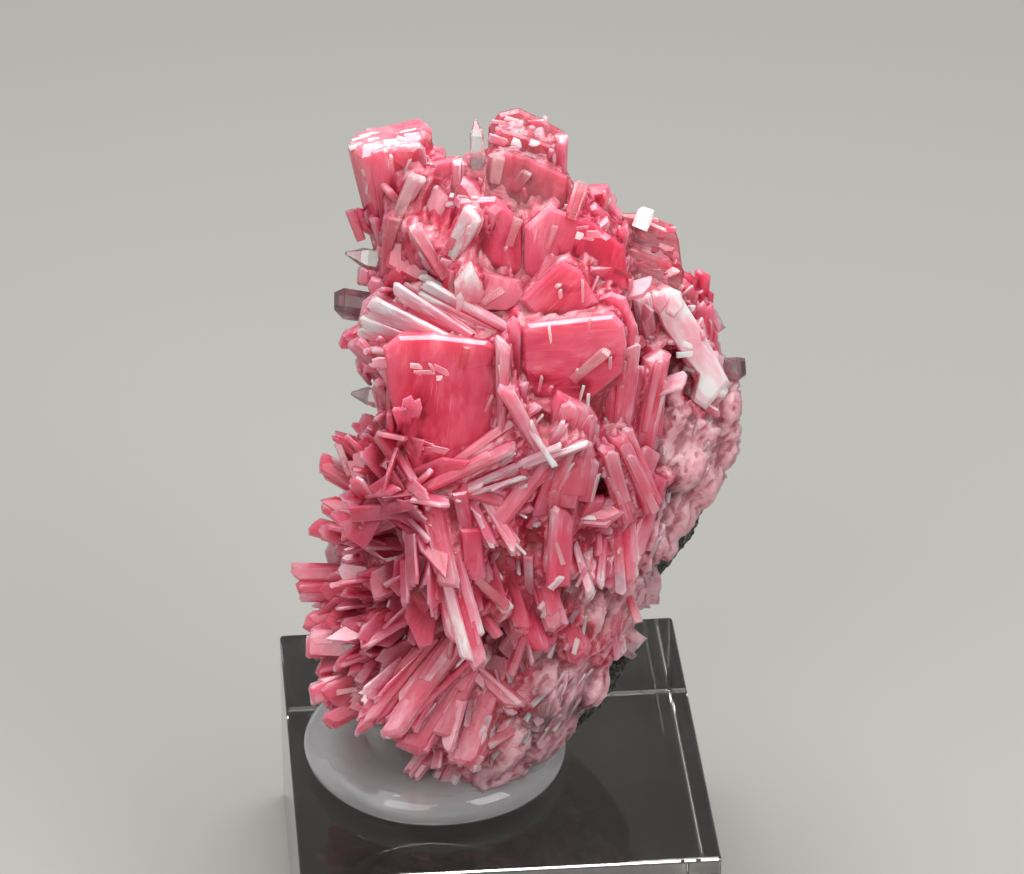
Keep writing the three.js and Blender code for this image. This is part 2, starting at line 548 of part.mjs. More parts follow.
// Crystals over the back, the left and the top, where the hand-laid ones do not reach
function fillCrystals() {
  const next = numberStream(fillSeed);
  const list = [];
  for (let i = 0; i < fillCount; i += 1) {
    const lobe = lobes[i % lobes.length];
    const height = 1 - (2 * (i + 0.5)) / fillCount;
    const round = Math.sqrt(1 - height * height);
    const turn = i * goldenAngle;
    const normal = new THREE.Vector3(round * Math.cos(turn), height, round * Math.sin(turn));
    const start = vector(lobe.centre).add(normal.clone().multiply(vector(lobe.radii)));
    const lean = new THREE.Vector3(next() - 0.5, next() - 0.5 + fillLift, next() - 0.5);
    const heading = normal.clone().addScaledVector(lean, fillSpread).normalize();
    const long = between(fillLength, next());
    const wide = between(fillWidth, next());
    const thick = between(fillThick, next());
    const roll = next() * 180 - 90;
    const top = next() < fillChisels ? 'chisel' : 'flat';
    const foot = start.clone().addScaledVector(normal, -fillSunk);
    const tip = start.clone().addScaledVector(heading, long - fillSunk);
    const facesOut = normal.z > showSide;
    const behindRock = alongRock(tip) > rockOffset - rockSpare;
    if (facesOut || behindRock || insideOtherLobe(tip, lobe) || !insideOutline(tip)) {
      continue;
    }
    list.push({ foot: foot.toArray(), tip: tip.toArray(), wide, thick, roll, top });
  }
  return list;
}

// Whether a point lies within the show outline, by counting the edges to its right
function insideOutline(point) {
  let inside = false;
  showOutline.forEach(([x, y], i) => {
    const [lastX, lastY] = showOutline[(i + showOutline.length - 1) % showOutline.length];
    const crosses = y > point.y !== lastY > point.y;
    if (crosses && point.x < x + ((lastX - x) * (point.y - y)) / (lastY - y)) {
      inside = !inside;
    }
  });
  return inside;
}

function insideOtherLobe(point, own) {
  return lobes.some((lobe) => {
    if (lobe === own) {
      return false;
    }
    const offset = point.clone().sub(vector(lobe.centre)).divide(vector(lobe.radii));
    return offset.length() < 1;
  });
}

// A large box on the far side of a plane, used to cut with
function farSide(normal, offset) {
  const box = new THREE.BoxGeometry(cutterReach, cutterReach, cutterReach);
  const turn = new THREE.Quaternion().setFromUnitVectors(new THREE.Vector3(0, 0, 1), normal);
  box.applyMatrix4(new THREE.Matrix4().makeRotationFromQuaternion(turn));
  const shift = normal.clone().multiplyScalar(offset + cutterReach / 2);
  return box.translate(shift.x, shift.y, shift.z);
}

function named(name, geometry, finish) {
  const material = new THREE.MeshStandardMaterial({
    ...finish,
    metalness: 0,
    transparent: finish.opacity < 1,
  });
  const mesh = new THREE.Mesh(geometry, material);
  mesh.name = name;
  return mesh;
}

function acrylicBlock() {
  const half = blockSize / 2 - blockBevel;
  const outline = new THREE.Shape();
  outline.moveTo(-half, -half);
  outline.lineTo(half, -half);
  outline.lineTo(half, half);
  outline.lineTo(-half, half);
  outline.closePath();
  const geometry = new THREE.ExtrudeGeometry(outline, {
    depth: blockHeight - 2 * blockBevel,
    bevelEnabled: true,
    bevelThickness: blockBevel,
    bevelSize: blockBevel,
    bevelSegments: 1,
  });
  geometry.translate(0, 0, blockBevel);
  return named('acrylic_block', welded(geometry), acrylicFinish);
}

// A low round pad with a full edge, dished in the middle where the specimen is pressed into it
function gumPadGeometry(extra = 0) {
  const section = gumProfile.map(
    ([out, up]) => new THREE.Vector2(out * (gumRadius + extra), up * gumHeight + extra),
  );
  const geometry = new THREE.LatheGeometry(section, gumSides);
  geometry.rotateX(Math.PI / 2);
  return geometry.translate(gumCentre[0], gumCentre[1], blockHeight + gap);
}

const specimen = new THREE.Group();
specimen.position.set(...faceCentre);
specimen.rotation.order = 'ZXY';
specimen.rotation.x = THREE.MathUtils.degToRad(faceLean);
specimen.rotation.z = THREE.MathUtils.degToRad(faceTurn);
specimen.updateMatrix();
const toSpecimen = specimen.matrix.clone().invert();

const rock = solidOf(rockGeometry());
const handLaid = [
  ...crownCrystals,
  ...leftEdgeCrystals,
  ...fanCrystals,
  ...heartCrystals,
  ...crossingCrystals,
  ...rightCrystals,
  ...leftSprayCrystals,
  ...footCrystals,
];
const massive = [
  ...lobes.map(({ centre, radii }, i) => solidOf(lumpGeometry(centre, radii, lobeSeed + i))),
  ...lumps.map((lump, i) => solidOf(chunkGeometry(lump, lumpSeed + i))),
];
const grown = [...handLaid, ...fillCrystals()].map((crystal) => solidOf(crystalGeometry(crystal)));
const sockets = accessories.map(({ shape }) => solidOf(crystalGeometry(shape, gap)));
const floorNormal = new THREE.Vector3(0, 0, -1).transformDirection(toSpecimen);
const floorPoint = new THREE.Vector3(0, 0, blockHeight + 3 * gap).applyMatrix4(toSpecimen);
const belowFloor = solidOf(farSide(floorNormal, floorNormal.dot(floorPoint)));
const behindSlab = solidOf(farSide(vector(rockNormal).normalize(), rockOffset - backTrim));
const gumClearance = solidOf(gumPadGeometry(gap).applyMatrix4(toSpecimen));

const rhodonite = joined([...massive, ...grown])
  .subtract(solidOf(rockGeometry(gap)))
  .subtract(behindSlab)
  .subtract(joined(sockets))
  .subtract(belowFloor)
  .subtract(gumClearance);
const pieces = rhodonite.decompose();
const largest = pieces.reduce((best, piece) => (piece.volume() > best.volume() ? piece : best));
const seatedRock = rock.subtract(belowFloor).subtract(gumClearance);

specimen.add(named('rhodonite_cluster', geometryOf(largest), roseFinish));
specimen.add(named('host_rock', geometryOf(seatedRock), rockFinish));
for (const { name, finish, shape } of accessories) {
  specimen.add(named(name, welded(crystalGeometry(shape)), finish));
}

const group = new THREE.Group();
group.add(acrylicBlock());
group.add(named('gum_pad', welded(gumPadGeometry()), gumFinish));
group.add(specimen);

export default group;
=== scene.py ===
import bpy
import bmesh
import json
import math
import random
import time
import numpy as np
from mathutils import Matrix, Quaternion, Vector, noise
from mathutils.bvhtree import BVHTree

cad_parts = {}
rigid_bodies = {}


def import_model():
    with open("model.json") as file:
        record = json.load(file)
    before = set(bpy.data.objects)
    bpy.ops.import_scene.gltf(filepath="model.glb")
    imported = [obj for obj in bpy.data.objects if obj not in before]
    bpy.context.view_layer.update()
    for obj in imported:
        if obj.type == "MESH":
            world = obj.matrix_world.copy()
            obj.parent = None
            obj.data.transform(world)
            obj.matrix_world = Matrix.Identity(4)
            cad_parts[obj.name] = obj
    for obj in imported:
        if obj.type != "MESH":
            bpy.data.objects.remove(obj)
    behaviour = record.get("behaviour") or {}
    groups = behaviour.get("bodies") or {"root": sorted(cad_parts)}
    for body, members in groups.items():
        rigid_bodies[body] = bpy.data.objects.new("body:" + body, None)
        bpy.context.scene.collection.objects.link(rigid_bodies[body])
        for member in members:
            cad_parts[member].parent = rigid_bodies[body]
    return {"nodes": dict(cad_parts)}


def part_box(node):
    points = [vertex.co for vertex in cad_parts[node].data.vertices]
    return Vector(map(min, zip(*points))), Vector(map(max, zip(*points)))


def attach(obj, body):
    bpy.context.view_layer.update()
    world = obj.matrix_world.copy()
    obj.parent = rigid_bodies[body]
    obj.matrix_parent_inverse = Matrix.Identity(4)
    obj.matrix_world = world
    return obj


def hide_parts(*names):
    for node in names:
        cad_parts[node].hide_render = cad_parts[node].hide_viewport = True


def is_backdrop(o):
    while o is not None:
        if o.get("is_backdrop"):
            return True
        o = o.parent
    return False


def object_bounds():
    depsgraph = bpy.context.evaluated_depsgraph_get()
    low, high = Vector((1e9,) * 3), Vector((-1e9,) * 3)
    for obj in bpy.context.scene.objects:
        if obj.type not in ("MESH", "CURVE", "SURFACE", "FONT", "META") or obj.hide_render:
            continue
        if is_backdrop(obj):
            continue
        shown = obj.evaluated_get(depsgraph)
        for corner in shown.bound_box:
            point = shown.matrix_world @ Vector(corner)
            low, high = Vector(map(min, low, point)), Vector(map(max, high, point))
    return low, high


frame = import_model()
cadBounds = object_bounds()
nodes = frame["nodes"]
scene = bpy.context.scene
startTime = time.time()
mm = 0.001
noise.seed_set(5)  # otherwise its vectors change from run to run


def report(text):
    print(f"{time.time() - startTime:6.1f} s  {text}")


# The specimen leans back on its block and is turned a little to the left. Its own frame has
# x across the show face, y up the face and z out of it, in millimetres.
specimen = dict(
    lean=57,
    turn=-5.45,
    middleShift=(0.1, 0.7, -0.8),  # from the middle of the cluster's box to the frame's origin
    eyeDistance=428.2,  # how far in front of the show face it is looked at from
)
clusterLow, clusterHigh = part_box("rhodonite_cluster")
faceCentre = (clusterLow + clusterHigh) / 2 + Vector(specimen["middleShift"]) * mm
toRow = (
    Matrix.Translation(faceCentre)
    @ Matrix.Rotation(math.radians(specimen["turn"]), 4, "Z")
    @ Matrix.Rotation(math.radians(specimen["lean"]), 4, "X")
    @ Matrix.Scale(mm, 4)
)
toFace = toRow.inverted()

grown = []  # each crystal laid: its frame turned back, half width, half thickness, length, axis, look


def enrol(place, wide, thick, long, look):
    # look is (tone, paleness, share of massive mineral)
    axis = (place.to_3x3() @ Vector((0, 0, 1))).normalized()
    grown.append((place.inverted(), wide / 2, thick / 2, long, axis, look))
    return len(grown) - 1


def looseMesh(name, points, faces, who):
    # a closed solid whose faces carry the number of the crystal they belong to
    mesh = bpy.data.meshes.new(name)
    mesh.from_pydata(points, [], faces)
    mesh.attributes.new("who", "FLOAT", "FACE").data.foreach_set("value", [float(who)] * len(faces))
    return mesh


def bandsOf(count, rings, flipped=False):
    # the faces that join each ring of count points to the next
    faces = []
    for low in range(0, count * (rings - 1), count):
        for i in range(count):
            j = (i + 1) % count
            face = (low + i, low + j, low + count + j, low + count + i)
            faces.append((face[0], *reversed(face[1:])) if flipped else face)
    return faces


def loft(name, section, levels, place, look):
    # each level: height, scale across, scale through, shift across, slope across, slope through
    points = []
    count = len(section)
    wide = 2 * max(abs(x) for x, y in section)
    thick = 2 * max(abs(y) for x, y in section)
    for height, scaleX, scaleY, shift, slopeX, slopeY in levels:
        for x, y in section:
            px, py = x * scaleX, y * scaleY
            points.append(place @ Vector((px + shift, py, height + slopeX * px + slopeY * py)))
    last = (len(levels) - 1) * count
    faces = [tuple(reversed(range(count))), *bandsOf(count, len(levels)), tuple(range(last, last + count))]
    return looseMesh(name, points, faces, enrol(place, wide, thick, levels[-1][0], look))


def standingFrame(foot, along, broad, roll=0):
    # a frame on foot with z along the crystal and y towards its broad face
    along = along.normalized()
    across = along.cross(broad)
    if across.length < 1e-3:
        across = along.orthogonal()
    across.normalize()
    across.rotate(Quaternion(along, math.radians(roll)))
    through = along.cross(across)
    turn = Matrix((across, through, along)).transposed().to_4x4()
    return Matrix.Translation(foot) @ turn


def tabularSection(wide, thick, rng):
    half, deep = wide / 2, thick / 2
    cut = [rng.uniform(0.66, 0.86) for i in range(4)]
    return [
        (half, deep * rng.uniform(-0.2, 0.3)),
        (half * cut[0], deep),
        (-half * cut[1], deep),
        (-half, deep * rng.uniform(-0.3, 0.2)),
        (-half * cut[2], -deep),
        (half * cut[3], -deep),
    ]


topShapes = {  # how each kind of top is cut, as shares of the width and thickness
    "jag": dict(bevel=0.25, across=0.80, through=0.40, rake=0.30),
    "flat": dict(bevel=0.10, across=0.93, through=0.72, rake=0.16),
    "chisel": dict(bevel=0.42, across=0.70, through=0.30, rake=0.30),
    "point": dict(bevel=1.10, across=0.16, through=0.30, rake=0.10),
}


def blade(name, place, wide, thick, long, top, rng, look, flare=1.08, rake=None):
    # a stout crystal on its foot, its top cut in one of a few ways
    shape = topShapes[top]
    if rake is None:
        rake = rng.uniform(-1, 1) * shape["rake"]
    section = tabularSection(wide, thick, rng)
    bevel = min(shape["bevel"] * (0.6 * thick + 0.35 * wide), long * 0.45)
    tilt = rng.uniform(-0.3, 0.3) * (top != "flat")
    peak = rng.uniform(-0.1, 0.1) * wide * (top != "flat")
    levels = [
        (0, 1 / flare, 1 / flare, 0, 0, 0),
        (long - bevel, 1, 1, 0, rake, tilt),
        (long, shape["across"], shape["through"], peak, rake, tilt),
    ]
    return loft(name, section, levels, place, look)


def plateOutline(wide, long, top, rng, flare):
    # the broad face of a tabular crystal: across and along, counter-clockwise, with an uneven top
    half, base = wide / 2, wide / 2 / flare
    reach = min(wide, long * 0.8)
    if top == "flat":
        fall = rng.uniform(0.02, 0.2) * reach
        corner = [rng.uniform(0.06, 0.22) * reach for i in range(4)]
        points = [
            (half, long - fall - corner[0]),
            (half - corner[1], long - fall),
            (-half + corner[2], long),
            (-half, long - corner[3]),
        ]
    elif top == "chisel":
        low, high = rng.uniform(0.35, 0.85) * reach, rng.uniform(0.06, 0.35) * reach
        peak = rng.uniform(0.08, 0.4) * wide
        shoulder = (half - rng.uniform(0.2, 0.4) * wide, long - low * rng.uniform(0.3, 0.5))
        points = [(half, long - low), shoulder, (-half + peak, long), (-half, long - high)]
    elif top == "jag":
        teeth = rng.choice((2, 3, 3, 4))
        fall = rng.uniform(0.2, 0.6) * reach
        points = [(half, long - fall - rng.uniform(0.2, 0.5) * reach)]
        for tooth in range(teeth):
            middle = half - (tooth + rng.uniform(0.3, 0.5)) * wide / teeth
            drop = fall * (1 - (tooth + 1) / teeth)
            points.append((middle, long - drop))
            if tooth < teeth - 1:
                notch = half - (tooth + rng.uniform(0.75, 1.1)) * wide / teeth
                points.append((notch, long - drop - rng.uniform(0.05, 0.3) * reach / teeth * 1.6))
        points.append((-half, long - rng.uniform(0.15, 0.4) * reach))
    else:
        low, high = rng.uniform(0.9, 1.3) * reach, rng.uniform(0.7, 1.1) * reach
        peak = rng.uniform(-0.1, 0.1) * wide
        points = [(half * 0.92, long - low), (peak, long), (-half * 0.92, long - high)]
    points = [(-base, 0), (base, 0)] + points
    if rng.random() < 0.5:
        points = [(-x, z) for x, z in reversed(points)]
    return points


def plate(name, place, wide, thick, long, top, rng, look, flare=1.06, bevel=0.3):
    # a tabular crystal standing on its foot: an outline given thickness, its edges cut
    outline = plateOutline(wide, long, top, rng, flare)
    cut = min(bevel * thick, 0.3 * thick + 0.02)
    shrink = 1 - min(0.35, cut * rng.uniform(0.7, 1.3) * 2 / wide)
    middleX = sum(x for x, z in outline) / len(outline)
    middleZ = long / 2
    rise = 1 - min(0.2, cut * 1.4 / long)
    inner = [(middleX + (x - middleX) * shrink, middleZ + (z - middleZ) * rise) for x, z in outline]
    half = thick / 2
    rings = ((inner, -half), (outline, -half + cut), (outline, half - cut), (inner, half))
    points = [place @ Vector((x, y, z)) for ring, y in rings for x, z in ring]
    count = len(outline)
    faces = [tuple(range(count)), tuple(reversed(range(3 * count, 4 * count))), *bandsOf(count, 4, True)]
    return looseMesh(name, points, faces, enrol(place, wide, thick, long, look))


def slab(name, outline, plane, thick, way, look, cut=0.3):
    # a flat crystal drawn by its outline on the show face: its front lies on a plane that rises
    # from plane[0] by plane[1] across and plane[2] up, and its striations run along way
    def onPlane(x, y):
        return Vector((x, y, plane[0] + plane[1] * x + plane[2] * y))

    front = [onPlane(x, y) for x, y in outline]
    normal = Vector((-plane[1], -plane[2], 1)).normalized()
    middle = sum(front, Vector()) / len(front)
    reach = sum((corner - middle).length for corner in front) / len(front)
    axis = onPlane(middle.x + way[0], middle.y + way[1]) - onPlane(middle.x, middle.y)
    axis.normalize()
    across = axis.cross(normal)
    alongs = [(corner - middle).dot(axis) for corner in front]
    sides = [abs((corner - middle).dot(across)) for corner in front]
    inset = 1 - cut * 1.3 / reach
    rings = [
        [middle + (corner - middle) * inset for corner in front],
        [corner - normal * cut for corner in front],
        [middle + (corner - middle) * 0.97 - normal * thick for corner in front],
    ]
    points = [point for ring in rings for point in ring]
    count = len(outline)
    faces = [tuple(range(count)), tuple(reversed(range(2 * count, 3 * count))), *bandsOf(count, 3, True)]
    foot = middle + axis * min(alongs) - normal * thick / 2
    place = standingFrame(foot, axis, normal)
    who = enrol(place, 2 * max(sides), thick, max(alongs) - min(alongs), look)
    return looseMesh(name, points, faces, who)


def jittered(vector, amount, rng):
    scatter = Vector([rng.gauss(0, 1) for i in range(3)])
    return (vector.normalized() + scatter * amount).normalized()


# listed crystals of the show face
# foot, tip, width, thickness, roll, top, leaves, columns, paleness, and flare if it is not the usual
crownBooks = [
    ((-8.8, 13, 7), (-11, 26.4, 13.4), 7.8, 6, 0, "flat", 4, 3, 0.1, 1.4),
    ((-6.6, 13, 7.4), (-7.5, 25.1, 13), 4.6, 5, -8, "chisel", 4, 2, 0.1),
    ((3.9, 18, 11.4), (4.1, 26.5, 13.8), 1.2, 2.8, 0, "flat", 3, 1, 0.3),
    ((-3.5, 18, 11), (-3.4, 24.9, 15), 2.2, 2.2, 0, "flat", 2, 1, 0.2),
    ((-5, 18, 12.6), (-4.9, 24.1, 15.4), 1.1, 1.6, 0, "flat", 2, 1, 0.4),
    ((6, 15, 9.5), (7, 22.4, 11.6), 3.8, 3.2, 0, "chisel", 3, 2, -0.1),
    ((4.6, 16, 11.5), (5.3, 22, 13.7), 2.4, 2.2, 20, "flat", 2, 2, 0.5),
    ((7.8, 15, 7.5), (8.7, 21.2, 9), 2.2, 2, 0, "chisel", 2, 1, 0.1),
    ((-5.5, 15, 7.5), (-6.1, 24.2, 11), 3.4, 3, 0, "chisel", 2, 2, 0.1),
    ((-7.5, 10, 8), (-10.9, 20, 13.6), 4.8, 3, 10, "chisel", 3, 3, 0.1),
    ((-11.2, 17.6, 12.2), (-8.3, 22.6, 15.8), 1.5, 1.3, 20, "flat", 1, 1, 0.6),
    ((-10.9, 14, 11.2), (-10.3, 19.6, 14.8), 1.9, 1.5, 0, "chisel", 2, 1, 0.3),
    ((-5.6, 13, 13.2), (-8.7, 18.4, 16.2), 1.9, 1.4, 15, "chisel", 1, 2, 0.5),
    ((-6.2, 14, 13.4), (-3.4, 19.6, 17.5), 1.9, 1.3, -20, "flat", 1, 1, 0.6),
    ((0.7, 12, 11.6), (1.3, 18.4, 14.8), 2.6, 2.2, 0, "chisel", 2, 2, 0.1),
    ((-4, 11.5, 11), (-2.2, 20.6, 15.6), 4.2, 2.6, -10, "chisel", 3, 3, 0.15),
    ((2.4, 10.5, 11.5), (3.4, 19.8, 15.2), 4.2, 2.6, 12, "chisel", 3, 3, 0.15),
    ((5, 9.5, 9.5), (7.2, 18.4, 13.4), 3.8, 2.4, 25, "chisel", 3, 2, 0.1),
    ((1, 8, 10.5), (2.8, 14.7, 15.2), 5, 2.8, 16, "chisel", 3, 3, 0.15),
    ((-3, 8.5, 11), (-6.4, 16.6, 14.4), 3.8, 2.2, -8, "chisel", 2, 3, 0.2),
]
leftEdgeBooks = [
    ((-8, 8.5, 5.5), (-15.3, 8.9, 7.4), 2.8, 2, -20, "chisel", 2, 2, 0.1),
    ((-9.5, 16.8, 8.5), (-14.1, 19.4, 11), 1.7, 1.4, 10, "chisel", 2, 1, 0.2),
    ((-9.5, 5.4, 5.5), (-13.7, 6.2, 8), 3.2, 1.7, 40, "flat", 2, 2, 0.2),
    ((-9.2, 13.4, 7.5), (-13.7, 14, 9.4), 2.6, 2.2, 0, "flat", 2, 2, 0.3),
]
# their paleness is partly the fibres' own white, partly a painted reflection of the light from above
fanBooks = [  # those that spread by more than half are fans of fibres
    ((0, 8.6, 15.2), (-9.2, 12.9, 13.5), 3.4, 1.6, -38, "flat", 2, 5, 0.68, 1.9),
    ((-3.4, 8.2, 14.8), (-10.9, 12.6, 12.7), 3, 1.6, -34, "flat", 2, 4, 0.62, 1.7),
    ((-5.4, 7.8, 14.4), (-13.2, 10.8, 11.9), 3.8, 1.6, -28, "flat", 2, 5, 0.55, 1.7),
    ((-3.8, 9.8, 12.6), (-3.8, 14.9, 17.2), 2.9, 1.8, 10, "point", 1, 1, 0.8),
]
heartBooks = [
    ((-8.2, -5, 10.2), (-7.6, 7.6, 13.6), 6.6, 2.4, -8, "flat", 0, 0, 0.05),
    ((-0.9, -2.4, 12.6), (-0.8, 8.7, 17.1), 2, 3, 10, "chisel", 2, 2, 0.4),
    ((-9.4, -2, 8), (-11.9, 8.3, 12), 3.2, 3, -20, "chisel", 3, 2, 0.2),
    ((3.8, -1, 10.2), (4.7, 9.4, 14.8), 7, 1.9, 6, "flat", 0, 1, 0.1),
    ((4.5, 2, 10), (4.7, 12.3, 14.5), 8.8, 2.2, 4, "chisel", 1, 1, 0.15),
    ((9, -0.5, 9.5), (9.8, 9.7, 13.8), 3.8, 2.2, 30, "chisel", 3, 3, 0.2),
    ((4, -6, 10.6), (5.8, 3.9, 15.3), 7.2, 2, 10, "chisel", 2, 4, 0.15),
    ((0.5, -1, 12.6), (0.4, 10.4, 16.6), 2.1, 2.2, 0, "chisel", 2, 2, 0.25),
    ((-9.4, -5.4, 12.6), (0.4, -0.6, 15.4), 1.9, 1.6, -15, "chisel", 1, 2, 0.32),
    ((-7.6, -6.2, 12.4), (7.0, -0.4, 14.9), 1.4, 1.4, -10, "chisel", 1, 2, 0.42),
    ((-6.4, -3.4, 13.0), (2.4, 3.0, 15.8), 1.2, 1.2, -10, "chisel", 1, 1, 0.18),
    ((2.9, -2, 14), (-0.9, 4.6, 17.8), 1.3, 1.5, 0, "chisel", 2, 1, 0.5),
    ((10.2, -7.4, 7.6), (8, -0.4, 12.9), 2.4, 2, 10, "chisel", 2, 2, 0.3),
    ((12.4, -6.2, 6.4), (9.2, 0.6, 12.2), 2.8, 2, 20, "chisel", 2, 2, 0.3),
    ((11.6, -1, 6.6), (13.2, 7.8, 9.6), 3.8, 2.4, 20, "chisel", 3, 2, 0.3),
]
crossingBooks = [
    ((-6.2, -7.4, 12.6), (-11.6, 0.4, 11.4), 1.9, 2.0, 25, "chisel", 2, 2, 0.3),
    ((-7.2, -5.2, 13.0), (-5.4, -13.4, 12.2), 2.2, 2.6, 0, "chisel", 1, 1, 0.34),
    ((-6.9, -8.0, 12.2), (-4.7, -18.4, 10.4), 1.6, 2.4, 0, "chisel", 1, 1, 0.40),
    ((-6.1, -11.0, 12.4), (-3.7, -19.8, 10.9), 1.15, 1.6, 0, "chisel", 0, 1, 0.62),
    ((-5.0, -9.8, 12.2), (-2.7, -17.6, 10.8), 1.1, 1.6, 0, "chisel", 0, 1, 0.62),
    ((-4.4, -13.6, 11.2), (-2.6, -20.4, 10.0), 1.5, 2.0, 0, "chisel", 1, 1, 0.2),
    ((-11.0, 0.2, 11.4), (-7.0, -6.4, 14.4), 0.8, 1.0, 0, "flat", 0, 1, 0.55),
    ((0.4, 2.4, 16.2), (3.8, -2.6, 15.2), 0.6, 0.8, 0, "flat", 0, 1, 0.7),
    ((-4.4, -3.6, 12.4), (-1.5, -9.8, 12.3), 1.1, 2, 0, "chisel", 2, 1, 0.3),
    ((-2.9, -4.6, 12), (0.7, -10.2, 12.2), 1.4, 2.2, 0, "chisel", 2, 1, 0.5),
    ((-4.6, -11.2, 5), (-0.1, -15.3, 9.6), 1.2, 1, 0, "flat", 1, 1, 0.7),
    ((0.6, -4.6, 8.8), (4.4, -17, 6.2), 3.2, 2.4, 0, "chisel", 3, 3, 0.1),
    ((-1.4, -8.6, 8), (2.4, -19.4, 5.2), 3.6, 2.4, -10, "chisel", 3, 3, 0.1),
    ((5.4, -8.6, 6.8), (7.2, -14.2, 7.4), 1, 2.6, 0, "chisel", 2, 1, 0.5),
    ((8.4, -8, 6), (7.8, -13.4, 7.2), 0.9, 2.2, 0, "chisel", 2, 1, 0.5),
    ((8.9, -3.6, 6.6), (9.6, -13.8, 4.6), 4.4, 2.8, 10, "chisel", 3, 3, 0.3),
    ((3.4, -6.4, 8.4), (10, -6.9, 9.2), 3, 2.2, -10, "chisel", 2, 2, 0.4),
    ((3.6, -12.6, 3.6), (6.2, -20, 3), 3.8, 2.8, 0, "chisel", 3, 2, 0.3),
    ((8, -13, 1.4), (9, -20, 0), 3.4, 2.6, 0, "chisel", 3, 2, 0.35),
]
rightBooks = [
    ((12.4, 9, 3.4), (13.4, 16, 6.2), 4.8, 2.2, -8, "chisel", 2, 3, -0.16),
    ((7.8, 11, 8.4), (9.4, 18.9, 10.8), 3.4, 2.6, 0, "chisel", 3, 2, -0.05),
    ((10.8, 12.8, 6.6), (14.6, 15.1, 8), 0.8, 1.2, 0, "flat", 1, 1, 0.6),
    ((16.6, 3.4, 0), (17.3, 15.2, 2.4), 2.2, 1.8, 15, "chisel", 2, 2, -0.12),
    ((15.2, 8, 0.6), (15.5, 14.9, 3.2), 1.6, 1.5, 0, "chisel", 2, 1, -0.12),
]
# these are painted pale: partly their own pinkish white, partly a painted highlight on the bright band's lit
# face
brightBooks = [
    ((13, 12.4, 7.4), (18.4, 3.6, 4.6), 2.2, 1.8, 34, "flat", 1, 1, 0.6),
    ((12.6, 6.6, 5.4), (11.2, 12.6, 10.4), 1.8, 1.2, 20, "flat", 1, 1, 0.7),
    ((13.8, 8.6, 6.6), (12.9, 12.4, 8.8), 1.0, 0.9, 24, "flat", 1, 1, 0.6),
]
sprayBooks = [
    ((-8.6, -4.6, 2.6), (-13.7, 1.7, 3.4), 3.1, 2.2, 10, "chisel", 3, 2, 0.1),
    ((-9.4, -5.4, 2), (-15.9, 0.4, 1.8), 2.1, 1.6, -20, "point", 2, 1, 0.1),
    ((-9, -7, 1.6), (-17.5, -2.4, 0.4), 2.9, 1.8, 12, "chisel", 3, 2, 0.1),
    ((-9.4, -8, 2), (-17.3, -6, 0.8), 1.9, 1.6, 0, "point", 2, 1, 0.1),
    ((-9, -10.6, 2.4), (-18.2, -8.4, -0.6), 2.7, 2, -14, "chisel", 3, 2, 0.1),
    ((-9.4, -12.4, 2.2), (-19.9, -12.5, -3.6), 2.4, 2, 10, "chisel", 3, 2, 0.1),
    ((-9.4, -14, 1.8), (-19.3, -14.2, -3.2), 2.6, 2.2, -10, "chisel", 3, 2, 0.1),
    ((-9.4, -16, 1.4), (-18.7, -17.2, -2), 3, 2.2, 15, "chisel", 3, 2, 0.1),
    ((-8.6, -17.6, 1), (-18.5, -18.8, 0.4), 3.3, 2.6, 0, "flat", 3, 2, 0.15),
    ((-8.6, -19.2, 0.6), (-17.5, -21.5, 0), 3, 2.4, 20, "chisel", 3, 2, 0.1),
    ((-8.6, -20, 0), (-18.1, -23.6, 0.8), 3, 2.4, -10, "flat", 3, 2, 0.15),
    ((-8.6, -21, -0.4), (-16.8, -25.7, 1.2), 2.8, 2.4, 10, "chisel", 3, 2, 0.1),
    ((-7, -7.6, 5), (-12.8, -6.4, 7.2), 2.8, 2, 0, "chisel", 3, 2, 0.1),
    ((-6, -9.8, 4.4), (-14.2, -8.8, 6.2), 2.8, 2, 20, "chisel", 3, 2, 0.1),
    ((-6, -12, 4), (-13.7, -13, 6), 3, 2.2, -15, "chisel", 3, 2, 0.1),
    ((-6, -14, 3.4), (-13.2, -16.7, 5.8), 3.2, 2.4, 5, "chisel", 3, 2, 0.1),
    ((-7.4, -3.6, 6.6), (-12.7, -2.4, 8), 3.2, 2.2, 10, "chisel", 3, 2, 0.1),
]
streakBooks = [
    ((-5.8, -16.6, 3.8), (-13.6, -26.8, 5.2), 2.5, 2.2, 20, "point", 4, 3, 0.3),
    ((-4.4, -17.8, 3.8), (-11.1, -27, 5.8), 2.7, 2.4, 20, "chisel", 4, 3, 0.3),
]
footBooks = [
    ((-7.8, -14.6, -0.4), (-13.2, -23, 2.3), 5, 3, 5, "flat", 3, 3, 0.15),
    ((-2.8, -17.8, 1.4), (-8.9, -28.5, 3.2), 4.5, 3.4, 0, "flat", 3, 3, 0.15),
    ((-1, -19, 0.8), (-4.9, -29.5, 0.8), 4.5, 3.4, 0, "flat", 3, 3, 0.2),
    ((-5, -19.4, 1.6), (1, -24.7, 1.8), 2.8, 2.4, 0, "chisel", 2, 2, 0.35),
    ((-3.4, -26.4, -5.2), (-7, -33.4, -4.6), 2.6, 2.2, 0, "chisel", 2, 2, 0.3),
    ((-4.6, -25.6, -4.2), (-8.9, -31.2, -4), 2.3, 2, 20, "chisel", 2, 2, 0.3),
    ((-2, -26.6, -4.4), (-4.8, -33.1, -5.2), 2.4, 2, -15, "chisel", 2, 2, 0.3),
]
